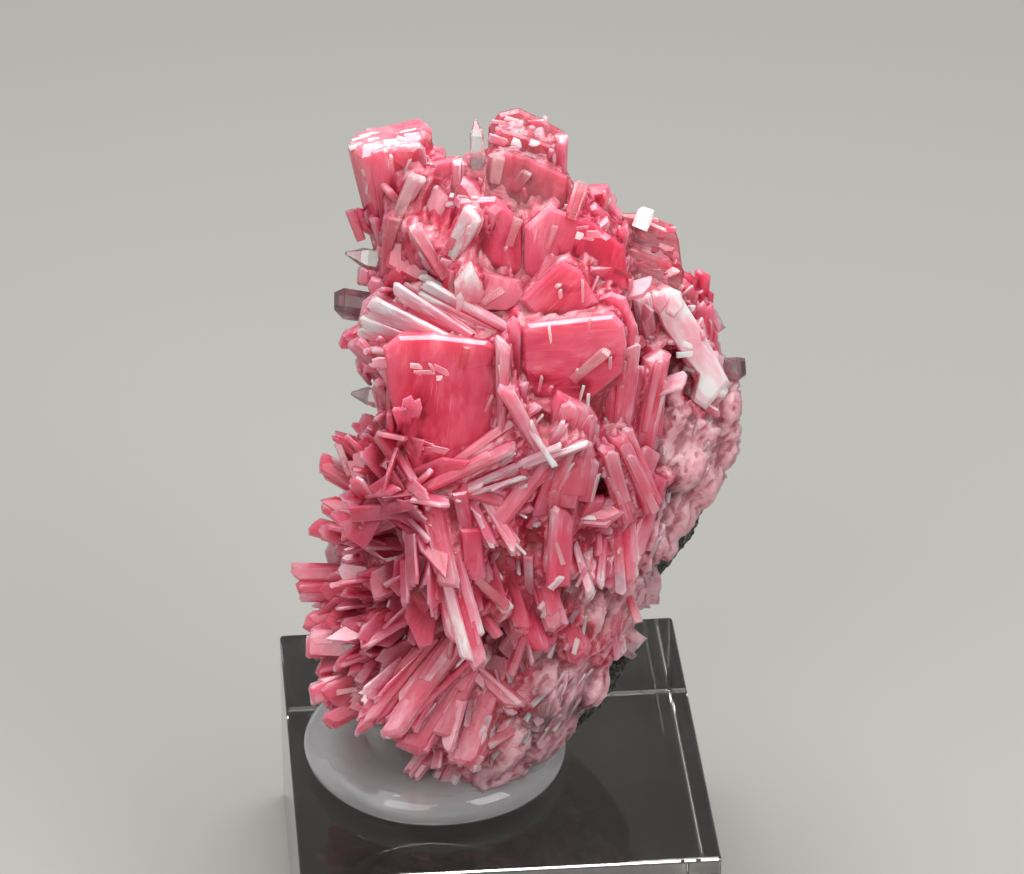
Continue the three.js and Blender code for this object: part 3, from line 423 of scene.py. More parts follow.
slabs = {  # outline, plane, thickness, way of the striations, tone, paleness, share of massive colour
    "heartLeft": (
        [(-8.8, -3.2), (-4.5, -4.2), (-0.2, -2), (-0.9, 3), (-1.3, 7.6), (-2.2, 8.2), (-4.2, 8.4),
         (-7, 8.7), (-10, 8.6), (-11.3, 7.6), (-10.9, 4), (-9.7, 0)],
        (14.6, 0.10, 0.28), 3.2, (0.1, 1), 0.4, -0.04, 0,
    ),
    "heartRight": (
        [(1.4, 2.6), (2.5, 2.1), (7, 3.4), (9.5, 5.6), (9.9, 8), (9.6, 9.8), (8.8, 10.6), (1.2, 9.7),
         (0.8, 9.2), (0.9, 6)],
        (14.5, -0.05, 0.29), 2.4, (1, 0.1), 0.6, 0.0, 0,
    ),
    "heartRightBack": (
        [(2, 4), (9.8, 4.6), (10.9, 9.6), (9.8, 12.2), (8.6, 12.6), (4.4, 11.2), (1.8, 10.2)],
        (13.2, -0.05, 0.2), 2.6, (0.3, 1), 0.5, 0.10, 0,
    ),
    # the bright band is painted pale: partly its own pinkish white, partly a painted highlight where its face
    # catches the light
    "brightBand": (
        [(16.3, 3.2), (17.3, 2.5), (19.4, 5), (17.2, 9), (15, 12.4), (13.8, 13.2), (12.1, 12.6),
         (13.3, 9.9), (14.8, 7.8), (16.8, 5.5)],
        (10.7, -0.3, 0.2), 1.6, (-0.55, 0.83), 0.5, 0.95, 0,
    ),
    "brightBandTop": (
        [(12.2, 11.4), (13.0, 10.8), (13.7, 11.7), (13.5, 12.9), (12.4, 12.9)],
        (11.0, -0.3, 0.2), 0.9, (-0.8, 0.5), 0.4, 1.0, 0,
    ),
    "brightBandTip": (
        [(13.5, 11.0), (14.3, 10.6), (15.2, 11.6), (14.9, 12.9), (13.9, 13.3)],
        (11.5, -0.3, 0.16), 0.9, (-0.6, 0.8), 0.6, 1.05, 0,
    ),
    # the fans are painted pale: partly the fibres' own white, partly a painted reflection of the light from
    # above
    "fanUpper": (
        [(-0.6, 9), (-3.6, 11.1), (-8.3, 13.8), (-9.6, 13.2), (-10.6, 11.8), (-6.3, 8.6), (-2.5, 8.2)],
        (15.8, 0.25, 0), 1.8, (-0.87, 0.5), 0.5, 0.75, 0,
    ),
    "fanLower": (
        [(-5.6, 8.2), (-10, 11.8), (-12, 12.9), (-13.3, 11.8), (-13.7, 10), (-12.6, 7.4), (-11, 6.4)],
        (16.5, 0.37, 0), 2.2, (-0.87, 0.45), 0.5, 0.6, 0,
    ),
    # the dark plate is painted darker and greyer: partly its own deep rose, partly painted shade
    "darkPlate": (
        [(9, 15), (13.2, 12.2), (15.3, 13.4), (14.7, 17.6), (14.2, 18.9), (11.5, 19.8), (8.4, 19.7)],
        (8.6, -0.24, 0.12), 3.0, (0.93, -0.37), 0.2, -1.3, 0.35,
    ),
    "darkPlateLow": (
        [(9.6, 14.2), (13.4, 11.4), (15.2, 12.6), (14.9, 15.4), (10, 16.9)],
        (9.6, -0.24, 0.12), 2.2, (0.93, -0.37), 0.4, -1.1, 0.35,
    ),
    "crownRidge": (
        [(-2.3, 19.6), (4.4, 19.6), (4.5, 26.5), (2.5, 27.6), (0.3, 28.6), (-1.4, 28.2), (-2.3, 27.0)],
        (8.8, 0, 0.17), 2.4, (0, 1), 0.5, -0.9, 0.4,
    ),
    "crownFront": (
        [(-1.8, 20.5), (3.3, 20.5), (3.3, 25.3), (1, 26.1), (-1.2, 26.7), (-1.8, 26.3)],
        (9.6, 0, 0.22), 1.8, (0, 1), 0.6, -0.6, 0.3,
    ),
    "crownStep": (
        [(-2.4, 20.4), (4.6, 19.4), (4.7, 22.6), (1.2, 24.2), (-1.0, 24.8), (-2.3, 24.4)],
        (11.0, 0.0, 0.2), 2.6, (0.1, 1), 0.4, -0.45, 0.25,
    ),
    "crownBlock": (
        [(-5.4, 13.0), (-0.8, 12.4), (1.0, 14.6), (0.8, 18.6), (-1.6, 20.8), (-4.9, 20.6), (-5.6, 17.0)],
        (12.4, 0.06, 0.19), 3.0, (-0.1, 1), 0.5, 0.03, 0,
    ),
    "crownSlope": (
        [(1.0, 14.4), (2.2, 12.6), (6.8, 12.2), (10.2, 12.9), (9.7, 16.6), (6.8, 18.8), (3.0, 20.0),
         (1.0, 18.2)],
        (13.2, -0.2, 0.19), 3.0, (0.2, 1), 0.4, 0.02, 0,
    ),
    "crownApron": (
        [(0.5, 11.9), (2.0, 10.2), (5.0, 10.2), (7.4, 11.7), (5.8, 14.5), (4.2, 15.3)],
        (14.4, 0.02, 0.14), 2.4, (0.7, 0.7), 0.6, 0.08, 0,
    ),
    "crownCheek": (
        [(-11.2, 14.8), (-8.6, 13.4), (-5.6, 13.2), (-4.8, 16.0), (-4.6, 20.4), (-6.6, 22.0),
         (-10.4, 22.2)],
        (13.6, 0.12, 0.09), 3.0, (0.1, 1), 0.5, 0.05, 0,
    ),
    "crownChest": (
        [(-6.2, 12.6), (-2.8, 10.9), (-0.4, 10.8), (1.6, 11.8), (0.6, 13.6), (-2.6, 14.4), (-6.0, 14.6)],
        (13.8, 0.05, 0.13), 2.6, (0.3, 1), 0.6, 0.03, 0,
    ),
}

books = [
    *crownBooks, *leftEdgeBooks, *fanBooks, *heartBooks, *crossingBooks,
    *rightBooks, *brightBooks, *sprayBooks, *streakBooks, *footBooks,
]
# the spray, the foot and the streaks are painted duller and greyer: partly their own duller rose, partly
# painted shade where they face away from the light and lie under the overhang
dullAndShadedGroups = ((sprayBooks, 0.12), (footBooks, 0.2), (streakBooks, 0.1))
dullAndShaded = {id(book): share for group, share in dullAndShadedGroups for book in group}
outOfFace = Vector((0, 0, 1))
towardsViewer = Vector((0, -1, 0))  # in a crystal's own frame
bookGrowth = dict(  # shares of the whole crystal, apart from leafThick and proud, which are in millimetres
    flare=1.1, stoutFrom=1.3, fanFrom=1.5, core=0.88, bundleCore=0.62, toneSpread=0.08,
    lathWide=(0.24, 0.52), lathLong=(0.55, 1.0), lathThick=(0.4, 0.85), lathLean=0.045, lathLeast=0.3,
    leafWide=(0.12, 0.5), leafLong=(0.3, 0.9), leafThick=(0.3, 0.6), leafLean=0.025, proud=(0.02, 0.12),
)


def growBook(number, book, rng):
    # one crystal: a core, laths grown beside it, and thin leaves on its broad faces
    foot, tip, wide, thick, roll, top, leaves, columns, pale, *flares = book
    flare = flares[0] if flares else bookGrowth["flare"]
    foot, tip = Vector(foot), Vector(tip)
    long = (tip - foot).length
    place = standingFrame(foot, tip - foot, outOfFace, roll)
    tone = rng.random()
    dull = dullAndShaded.get(id(book), 0)
    meshes = []

    def shade(extra=0.0):
        own = tone + rng.gauss(0, 1) * bookGrowth["toneSpread"]
        return min(1, max(0, own)), min(1, pale * rng.uniform(0.8, 1.15) + extra), dull

    if flare > bookGrowth["fanFrom"]:
        return growFan(number, place, wide, thick, long, columns, pale, flare, tone, rng)
    stout = flare > bookGrowth["stoutFrom"]
    bundled = columns > 1 and not stout
    coreThick = thick * bookGrowth["core"]
    core = f"core{number}"
    if stout:
        meshes.append(blade(core, place, wide * 0.96, coreThick, long, top, rng, shade(), flare))
    elif bundled:
        aside = place @ Matrix.Translation((rng.uniform(-0.15, 0.15) * wide, 0, 0))
        coreWide = wide * bookGrowth["bundleCore"]
        meshes.append(plate(core, aside, coreWide, coreThick, long, top, rng, shade(), flare))
    else:
        meshes.append(plate(core, place, wide, coreThick, long, top, rng, shade(), flare))
    laths = columns + 2 if bundled else 0
    for lath in range(laths):
        w = wide * rng.uniform(*bookGrowth["lathWide"])
        t = thick * rng.uniform(*bookGrowth["lathThick"])
        x = ((lath + 0.5) / laths - 0.5) * (wide - w)
        y = rng.uniform(-0.5, 0.5) * (thick - t)
        end = long * rng.uniform(*bookGrowth["lathLong"])
        start = rng.uniform(0, 0.2) * long
        axis = jittered(Vector((0, 0, 1)), bookGrowth["lathLean"], rng)
        local = place @ standingFrame(Vector((x / flare, y, start)), axis, towardsViewer, rng.gauss(0, 7))
        look = shade(0.35 * max(pale, 0.1) * rng.random())
        w = max(w, bookGrowth["lathLeast"])
        meshes.append(plate(f"lath{number}", local, w, min(t, w), end - start, top, rng, look, 1.04, 0.25))
    for leaf in range(leaves if not stout else leaves + columns):
        w = wide * rng.uniform(*bookGrowth["leafWide"])
        l = long * rng.uniform(*bookGrowth["leafLong"])
        t = min(thick * 0.6, rng.uniform(*bookGrowth["leafThick"]))
        x = rng.uniform(-1, 1) * (wide * (bookGrowth["bundleCore"] if bundled else 1) / flare ** 0.5 - w) / 2
        side = -1 if rng.random() < 0.7 else 1
        proud = rng.uniform(*bookGrowth["proud"])
        y = side * (coreThick / 2 + proud - t / 2)
        start = rng.uniform(0, 0.35) * long
        axis = jittered(Vector((0, 0, 1)), bookGrowth["leafLean"], rng)
        l = min(l, long * 0.99 - start)
        local = place @ standingFrame(Vector((x, y, start)), axis, towardsViewer)
        # some leaves are painted paler: painted reflection streaks along the crystal's faces
        look = shade(0.5 * max(pale, 0.1) if rng.random() < 0.3 else 0)
        meshes.append(plate(f"leaf{number}", local, w, t, l, top, rng, look, 1.02, 0.2))
    return meshes


def growFan(number, place, wide, thick, long, columns, pale, flare, tone, rng):
    # fibres that spread from a narrow foot
    meshes = []
    for layer in range(2):
        count = columns + layer * 2
        y = (layer - 0.5) * thick * 0.45
        for column in range(count):
            share = (column + 0.5) / count - 0.5
            x = share * wide + rng.uniform(-0.05, 0.05) * wide
            start = Vector((x / flare, y / flare, rng.uniform(0, 0.08) * long))
            end = Vector((x, y + rng.uniform(-0.12, 0.12) * thick, long * rng.uniform(0.86, 1.0)))
            w = wide / count * rng.uniform(1.3, 1.8)
            t = thick * rng.uniform(0.24, 0.36)
            local = place @ standingFrame(start, end - start, towardsViewer)
            look = (tone, min(1, pale * rng.choice((0.6, 0.8, 1.0, 1.2))), 0)
            fibreLong, top = (end - start).length, rng.choice(("jag", "chisel"))
            meshes.append(plate(f"fibre{number}", local, w, t, fibreLong, top, rng, look, flare, 0.3))
    return meshes


report(f"{len(books)} hand-laid books")

# the solid heart of the cluster and what grows on it

lobes = [  # centre and radii of the massive mineral that the crystals stand on
    ((2, 3, -1.5), (13, 16, 12.5)),
    ((-1, 15, 5), (9.5, 9, 7.5)),
    ((12.5, 4, -2), (7.5, 12, 7)),
    ((4, -12, -4), (9, 11, 10)),
    ((-8, -11, -6), (8, 12, 9)),
    ((-2, -20, -7), (9, 10.5, 8.5)),
]
lumps = [  # centre and radius of the smaller lumps over its broken side
    ((16.2, 5.6, 1.8), 3), ((17.8, 3.4, 0.6), 2.7), ((15, 1.6, 2.8), 3.2), ((17.8, -0.2, -0.4), 2.6),
    ((14.2, -2.2, 3), 3), ((16, -3.4, 0.6), 2.6), ((13.6, -6.2, 1), 2.6), ((11.8, -9, 1.4), 2.7),
    ((9, -13.4, 0.6), 3), ((8, -17.8, -1.4), 3), ((6.2, -21.8, -2.6), 3.2), ((3, -22.4, -0.8), 3.5),
    ((2.6, -25.6, -3.8), 3.3), ((-1, -26.6, -2.4), 3.3), ((-1.8, -29.4, -5), 3),
]


massive = dict(
    voxel=0.42, smooth=2, shrink=0.985, grainWay=Vector((0.45, 0.85, 0.2)), drawnOut=0.72,
    reach=1.1,  # how far a crystal's look spreads over the massive mineral beside it
    # shade is a painted shade on the ground between the crystals
    stride=0.35, shade=0.1,
    chips=[(3.4, 0.8), (1.5, 0.3)],  # size, most that they stand out
    chipTilt=1.2, ridge=0.3, fine=0.2,
    fineEdge=0.05, broadSwell=0.5,  # a rise over the points round about that counts as one
    pits=[((13.8, -4.2), 1.3, 1.6), ((12.5, -6.8), 0.7, 0.8)],  # middle, reach, depth
)
ground = dict(  # fills between the crystals: each zone is grown by grow, then drawn back by grow and sink
    voxel=0.42,
    grow=dict(crown=1.0, heart=0.65, leftEdge=0.6, spray=0.6, foot=0.7, massive=0.6, back=0.9),
    sink=dict(crown=0.2, heart=0.3, leftEdge=0.35, spray=0.5, foot=0.35, massive=0.3, back=0.4),
)


def massiveBall(name, centre, radii):
    bm = bmesh.new()
    bmesh.ops.create_icosphere(bm, subdivisions=3, radius=1)
    bmesh.ops.transform(bm, matrix=Matrix.Translation(centre) @ Matrix.Diagonal((*radii, 1)), verts=bm.verts)
    mesh = bpy.data.meshes.new(name)
    bm.to_mesh(mesh)
    bm.free()
    return mesh


def applied(thing):
    graph = bpy.context.evaluated_depsgraph_get()
    mesh = bpy.data.meshes.new_from_object(thing.evaluated_get(graph))
    bpy.data.objects.remove(thing)
    return mesh


def remeshed(mesh, voxel, smooth=0):
    blank = bpy.data.objects.new("blank", mesh)
    scene.collection.objects.link(blank)
    remesh = blank.modifiers.new("remesh", "REMESH")
    remesh.mode = "VOXEL"
    remesh.voxel_size = voxel
    if smooth:
        soften = blank.modifiers.new("soften", "SMOOTH")
        soften.iterations = smooth
        soften.factor = 0.6
    return applied(blank)


def shifted(mesh, amountAt):
    # every point moved out along its normal
    normals = [Vector(normal.vector) for normal in mesh.vertex_normals]
    for vertex, normal in zip(mesh.vertices, normals):
        vertex.co += normal * amountAt(vertex.co, normal)
    return mesh


def grownTogether(meshes):
    # the ground that closes the narrow gaps between crystals and leaves their edges standing proud
    voxel, grow, sink = ground["voxel"], ground["grow"], ground["sink"]
    mesh = remeshed(joinedMesh(meshes), voxel)
    mesh = remeshed(shifted(mesh, lambda at, normal: grow[zoneOf(at, normal)]), voxel, 2)
    mesh = shifted(mesh, lambda at, normal: -grow[zoneOf(at, normal)] - sink[zoneOf(at, normal)])
    return remeshed(mesh, voxel, 1)


def boxMesh(name, low, high):
    corners = [(x, y, z) for x in (low[0], high[0]) for y in (low[1], high[1]) for z in (low[2], high[2])]
    faces = [(0, 1, 3, 2), (4, 6, 7, 5), (0, 4, 5, 1), (2, 3, 7, 6), (0, 2, 6, 4), (1, 5, 7, 3)]
    return looseMesh(name, corners, faces, 0)


# the plane that the specimen broke off along
broken = dict(normal=Vector((0.45, 0.15, -0.88)).normalized(), offset=10.6, reach=60)


def behindBreak():
    reach = broken["reach"]
    mesh = boxMesh("behindBreak", (-reach, -reach, 0), (reach, reach, reach))
    turn = broken["normal"].to_track_quat("Z", "Y").to_matrix().to_4x4()
    mesh.transform(Matrix.Translation(broken["normal"] * broken["offset"]) @ turn)
    return mesh


def chippedRise(at, normal, drawn):
    # how far the broken surface stands out at a point; drawn is the point with its grain squeezed short
    rise = 0.0
    for size, high in massive["chips"]:
        # each chip is a small plane with a tilt of its own
        middle = noise.voronoi(drawn / size)[1][0]
        tilt = noise.noise_vector(middle * 5.3)
        rise += max(-high, min(high, tilt.dot(drawn - middle * size) * massive["chipTilt"]))
    rise += massive["ridge"] * (0.4 - abs(noise.noise(drawn * 1.3))) * (0.5 + noise.noise(at * 0.3))
    rise += massive["fine"] * (noise.noise(drawn * 3.0) + 0.5 * noise.noise(drawn * 6.5))
    for (x, y), reach, deep in massive["pits"]:
        rise -= deep * math.exp(-((at.x - x) ** 2 + (at.y - y) ** 2) / reach ** 2) * (normal.z > 0)
    return rise


def massiveBody(solids):
    # the massive mineral in one piece with the ground between the crystals, broken along its grain
    balls = []
    for centre, radii in lobes:
        balls.append(massiveBall("lobe", centre, [radius * massive["shrink"] for radius in radii]))
    for centre, radius in lumps:
        balls.append(massiveBall("lump", centre, (radius,) * 3))
    mesh = remeshed(joinedMesh(balls + [grownTogether(solids)]), massive["voxel"], massive["smooth"])
    mesh = remeshed(booleanOf(mesh, [behindBreak()], "DIFFERENCE"), massive["voxel"], 1)
    solidTree = treeOf(joinedMesh(solids))
    solidWho = np.repeat([whoOf(solid) for solid in solids], [len(solid.polygons) for solid in solids])
    way = massive["grainWay"].normalized()
    number = enrol(standingFrame(Vector(), way, outOfFace), 400, 400, 400, (0.5, 0.0, 1.0))
    normals = [Vector(normal.vector) for normal in mesh.vertex_normals]
    nearBy, who = np.zeros(len(normals)), np.full(len(normals), number)
    for index, (vertex, normal) in enumerate(zip(mesh.vertices, normals)):
        at = vertex.co
        face, far = solidTree.find_nearest(at)[2:]
        share = min(1, max(0, (massive["reach"] - far) / massive["reach"] * 2))
        nearBy[index] = share
        if share > 0:
            who[index] = solidWho[face]
        drawn = at - way * at.dot(way) * massive["drawnOut"]
        rise = chippedRise(at, normal, drawn) if share < 1 else 0.0
        if share > 0:
            axis = grown[who[index]][4]
            across = at - axis * at.dot(axis) * 0.85
            rise = rise * (1 - share) + share * massive["stride"] * noise.noise(across * 1.9)
        if not insideBox(at + normal * rise):
            rise = min(rise, 0)
        vertex.co = at + normal * rise
    points = [vertex.co.copy() for vertex in mesh.vertices]
    faces = [tuple(face.vertices) for face in mesh.polygons]
    body = looseMesh("massive", points, faces, number)
    addValues(body, "nearBy", "FLOAT", "POINT", nearBy)
    addValues(body, "nearWho", "FLOAT", "POINT", who)
    return body


def whoOf(mesh):
    return int(round(mesh.attributes["who"].data[0].value))


def addValues(mesh, name, kind, domain, values):
    key = "value" if kind == "FLOAT" else "vector"
    flat = np.ascontiguousarray(values, np.float32).ravel()
    mesh.attributes.new(name, kind, domain).data.foreach_set(key, flat)


def valuesOf(mesh, name):
    values = np.zeros(len(mesh.attributes[name].data), np.float32)
    mesh.attributes[name].data.foreach_get("value", values)
    return values


def treeOf(mesh, matrix=Matrix.Identity(4)):
    points = [matrix @ vertex.co for vertex in mesh.vertices]
    return BVHTree.FromPolygons(points, [tuple(face.vertices) for face in mesh.polygons])


def insideBox(point, spare=0.0):
    # whether a point is inside the box of the CAD cluster
    spot = toRow @ point
    return all(clusterLow[i] + spare * mm < spot[i] < clusterHigh[i] - spare * mm for i in range(3))


def clearOfEdge(place, wide, long, spare=0.3):
    # whether a crystal stays inside the CAD outline and the CAD box
    for x in (-wide / 2, wide / 2):
        for z in (long * 0.5, long):
            corner = place @ Vector((x, 0, z))
            if not insideBox(corner, spare) or not seenWithin(corner):
                return False
    return True


def samplesOn(mesh, density, rng):
    # evenly spread random points on a mesh, with the face's normal
    co = np.array([v.co for v in mesh.vertices])
    mesh.calc_loop_triangles()
    tris = np.array([t.vertices for t in mesh.loop_triangles])
    a, b, c = co[tris[:, 0]], co[tris[:, 1]], co[tris[:, 2]]
    normals = np.cross(b - a, c - a)
    areas = np.linalg.norm(normals, axis=1) / 2
    normals /= areas[:, None] * 2 + 1e-12
    count = int(areas.sum() * density)
    pick = rng.choice(len(tris), count, p=areas / areas.sum())
    u, v = rng.random(count), rng.random(count)
    flip = u + v > 1
    u[flip], v[flip] = 1 - u[flip], 1 - v[flip]
    return a[pick] + (b - a)[pick] * u[:, None] + (c - a)[pick] * v[:, None], normals[pick]


cadMesh = nodes["rhodonite_cluster"].data
cadTree = treeOf(cadMesh, toFace)
eye = Vector((0, 0, specimen["eyeDistance"]))
flowReach = 1.6
bookFeet = np.array([book[0] for book in books], float)
bookTips = np.array([book[1] for book in books], float)
bookLongs = np.linalg.norm(bookTips - bookFeet, axis=1)
bookAxes = (bookTips - bookFeet) / bookLongs[:, None]


def flowAt(point):
    # the way the listed crystals round about point
    offset = np.array(point) - bookFeet
    share = np.clip((offset * bookAxes).sum(1) / bookLongs, 0, 1)
    nearest = bookFeet + bookAxes * (share * bookLongs)[:, None]
    far = np.linalg.norm(np.array(point) - nearest, axis=1)
    weight = np.exp(-far / flowReach)
    return Vector((bookAxes * weight[:, None]).sum(0) / (weight.sum() + 1e-9))


def seenWithin(point):
    # whether a point falls inside the outline of the CAD cluster as seen from the front
    return cadTree.ray_cast(eye, (point - eye).normalized())[0] is not None


# dull greys a zone's crystals towards the massive colour: in the spray and the foot partly their own colour,
# partly painted shade
growth = {  # how the splinters grow in each zone, in millimetres
    "crown": dict(
        keep=0.06, long=(0.7, 1.8), wide=(0.2, 0.6), thick=(0.2, 0.5), out=0.1,
        flow=1.0, spread=0.25, pale=(0.3, 0.9), tops="fcj", dull=0.0,
    ),
    "leftEdge": dict(
        keep=0.4, long=(1.4, 3.2), wide=(0.5, 1.3), thick=(0.3, 0.8), out=0.9,
        flow=0.6, spread=0.2, pale=(0.0, 0.5), tops="ccfj", dull=0.4,
    ),
    "spray": dict(
        keep=0.3, long=(3.0, 7.0), wide=(1.0, 3.2), thick=(0.25, 0.55), out=0.3,
        flow=1.3, spread=0.13, pale=(-0.2, 0.2), tops="ccjjpp", dull=0.1,
    ),
    "foot": dict(
        keep=0.2, long=(1.6, 4.0), wide=(0.2, 0.7), thick=(0.2, 0.4), out=0.05,
        flow=1.0, spread=0.08, pale=(0.0, 0.8), tops="ccfj", dull=0.35,
    ),
    "heart": dict(
        keep=0.08, long=(0.9, 3.2), wide=(0.12, 0.4), thick=(0.2, 0.3), out=0.06,
        flow=1.0, spread=0.14, pale=(0.4, 0.9), tops="ccfj", dull=0.0,
    ),
    "massive": dict(
        keep=0.3, long=(0.8, 2.4), wide=(0.3, 0.9), thick=(0.2, 0.4), out=0.02,
        flow=1.0, spread=0.2, pale=(0.2, 1.0), tops="cj", dull=0.5,
    ),
    "back": dict(
        keep=0.12, long=(2.5, 5.0), wide=(0.8, 2.2), thick=(0.4, 0.8), out=0.9,
        flow=0.5, spread=0.2, pale=(-0.05, 0.2), tops="cccfj", dull=0.35,
    ),
}
topOf = dict(f="flat", c="chisel", p="point", j="jag")


def zoneOf(p, n):
    if n.z < -0.25:
        return "back"
    if p.x > 11 and p.y < 9.5 or p.x > 2.5 and p.y < -12 or p.x > -3 and p.y < -22:
        return "massive"
    if p.y < -17 and p.x > -9:
        return "foot"
    if p.x < -6 and p.y < 1.5:
        return "spray"
    if p.x < -10.5 and p.y < 15:
        return "leftEdge"
    return "crown" if p.y > 13 else "heart"


def splinters(body, tree, density, seed):
    # small crystals rooted on the body, each following the crystal that it stands on
    rng = random.Random(seed)
    points, normals = samplesOn(body, density, np.random.default_rng(seed))
    made = []
    for number, (point, normal) in enumerate(zip(points, normals)):
        point, normal = Vector(point), Vector(normal)
        zone = zoneOf(point, normal)
        way = growth[zone]
        onBreak = point.dot(broken["normal"]) > broken["offset"] - 1
        if rng.random() > way["keep"] or onBreak or tree.ray_cast(point + normal * 0.05, normal, 2.0)[0]:
            continue
        flow = massive["grainWay"] if zone == "massive" else flowAt(point)
        axis = jittered(normal * way["out"] + flow * way["flow"], way["spread"], rng)
        long = rng.uniform(*way["long"])
        wide, thick = rng.uniform(*way["wide"]), rng.uniform(*way["thick"])
        wide = max(wide, thick)
        share = 0.45 + 0.1 * (zone in ("spray", "back"))
        bedded = zone in ("heart", "massive", "foot", "crown")
        sink = normal * (thick / 2 - rng.uniform(0.03, 0.18)) if bedded else Vector((0, 0, 0))
        root = point - axis * long * (0.5 if bedded else 1 - share) - sink
        if not seenWithin(root + axis * long) or bedded and overLead(point + normal * 0.3):
            continue
        place = standingFrame(root, axis, normal, rng.gauss(0, 12 if bedded else 40))
        if not clearOfEdge(place, wide, long):
            continue
        look = (rng.random(), rng.uniform(*way["pale"]), way["dull"])
        top = topOf[rng.choice(way["tops"])]
        made.append(plate(f"splinter{number}", place, wide, thick, long, top, rng, look))
    return made


envelope = dict(step=0.5, window=3.0, across=(-22, 23), up=(-35, 31))
seedRows = dict(left=-22, bottom=-33, wide=44, tall=62, shake=0.4)
# the middle-sized crystals of each zone, in millimetres; below is how far their tips stay under the envelope
# dull greys a zone's crystals towards the massive colour: in the spray and the foot partly their own colour,
# partly painted shade
fill = {
    "crown": dict(
        spacing=1.8, long=(3.0, 6.5), wide=(2.0, 4.4), thick=(1.4, 2.6),
        below=(0.4, 1.5), lean=0.12, pale=(0.0, 0.26), tops="ccfj", dull=0.0,
    ),
    "heart": dict(
        spacing=1.5, long=(3.5, 9.0), wide=(0.7, 2.6), thick=(0.5, 1.3),
        below=(0.3, 2.1), lean=0.2, pale=(0.0, 0.3), tops="cccfj", dull=0.0,
    ),
    "leftEdge": dict(
        spacing=1.6, long=(3.0, 6.0), wide=(0.8, 2.2), thick=(0.5, 1.2),
        below=(0.2, 2.0), lean=0.25, pale=(0.0, 0.4), tops="ccf", dull=0.3,
    ),
    "spray": dict(
        spacing=1.45, long=(4.0, 9.5), wide=(1.2, 3.6), thick=(0.35, 0.8),
        below=(0.2, 2.6), lean=0.17, pale=(-0.2, 0.08), tops="ccjjpp", dull=0.1,
    ),
    "foot": dict(
        spacing=1.7, long=(3.5, 7.0), wide=(0.6, 2.2), thick=(0.5, 1.1),
        below=(0.3, 1.8), lean=0.16, pale=(-0.05, 0.25), tops="ccfj", dull=0.2,
    ),
}
pits = [  # places on the show face that are kept free of them: middle, radius
    ((-1.2, -8), 1.5), ((6.7, -3), 1.5), ((6.5, -6.3), 1.2), ((-7.5, -11.5), 1.8),
    ((-8.5, -17.7), 1.1), ((0.4, 9.8), 0.8), ((7.1, -11.6), 0.9), ((-10.2, 22.6), 3.6),
]


def insideOutline(x, y, outline):
    inside = False
    for (x1, y1), (x2, y2) in zip(outline, outline[1:] + outline[:1]):
        if (y1 > y) != (y2 > y) and x < (x2 - x1) * (y - y1) / (y2 - y1) + x1:
            inside = not inside
    return inside


leadSpare = dict(slab=0.8, leadSide=0.3, lead=0.2)


def underSlab(point):
    # whether a point falls in front of one of the plates, or just behind its face
    for outline, (height, across, up), *rest in slabs.values():
        face = height + across * point.x + up * point.y
        if insideOutline(point.x, point.y, outline) and point.z > face - leadSpare["slab"]:
            return True
    return False


leadBooks = crossingBooks[:8] + heartBooks[-5:] + fanBooks + streakBooks + brightBooks


def overLead(point):
    # whether a point falls in front of one of the long blades that stand out
    for foot, tip, wide, *rest in leadBooks:
        along = Vector(tip) - Vector(foot)
        flat = Vector((along.x, along.y))
        offset = Vector((point.x - foot[0], point.y - foot[1]))
        share = min(1, max(0, offset.dot(flat) / flat.length_squared))
        beside = (offset - flat * share).length < wide / 2 + leadSpare["leadSide"]
        if beside and point.z > foot[2] + along.z * share - leadSpare["lead"]:
            return True
    return False


def envelopeOf(step, window):
    # a height over the show face that runs from tip to tip of the CAD cluster
    xs, ys = np.arange(*envelope["across"], step), np.arange(*envelope["up"], step)
    heights = np.full((len(ys), len(xs)), np.nan)
    for row, y in enumerate(ys):
        for column, x in enumerate(xs):
            hit = cadTree.ray_cast(Vector((x, y, 60)), Vector((0, 0, -1)))[0]
            if hit:
                heights[row, column] = hit.z
    reach = int(window / step)
    layers = []
    padded = np.pad(heights, reach, constant_values=np.nan)
    for dy in range(-reach, reach + 1):
        for dx in range(-reach, reach + 1):
            if dx * dx + dy * dy <= reach * reach:
                layers.append(padded[reach + dy:reach + dy + len(ys), reach + dx:reach + dx + len(xs)])
    stacked = np.stack(layers)
    empty = np.isnan(stacked).all(axis=0)
    stacked[:, empty] = -99
    return xs, ys, np.nanpercentile(stacked, 72, axis=0)


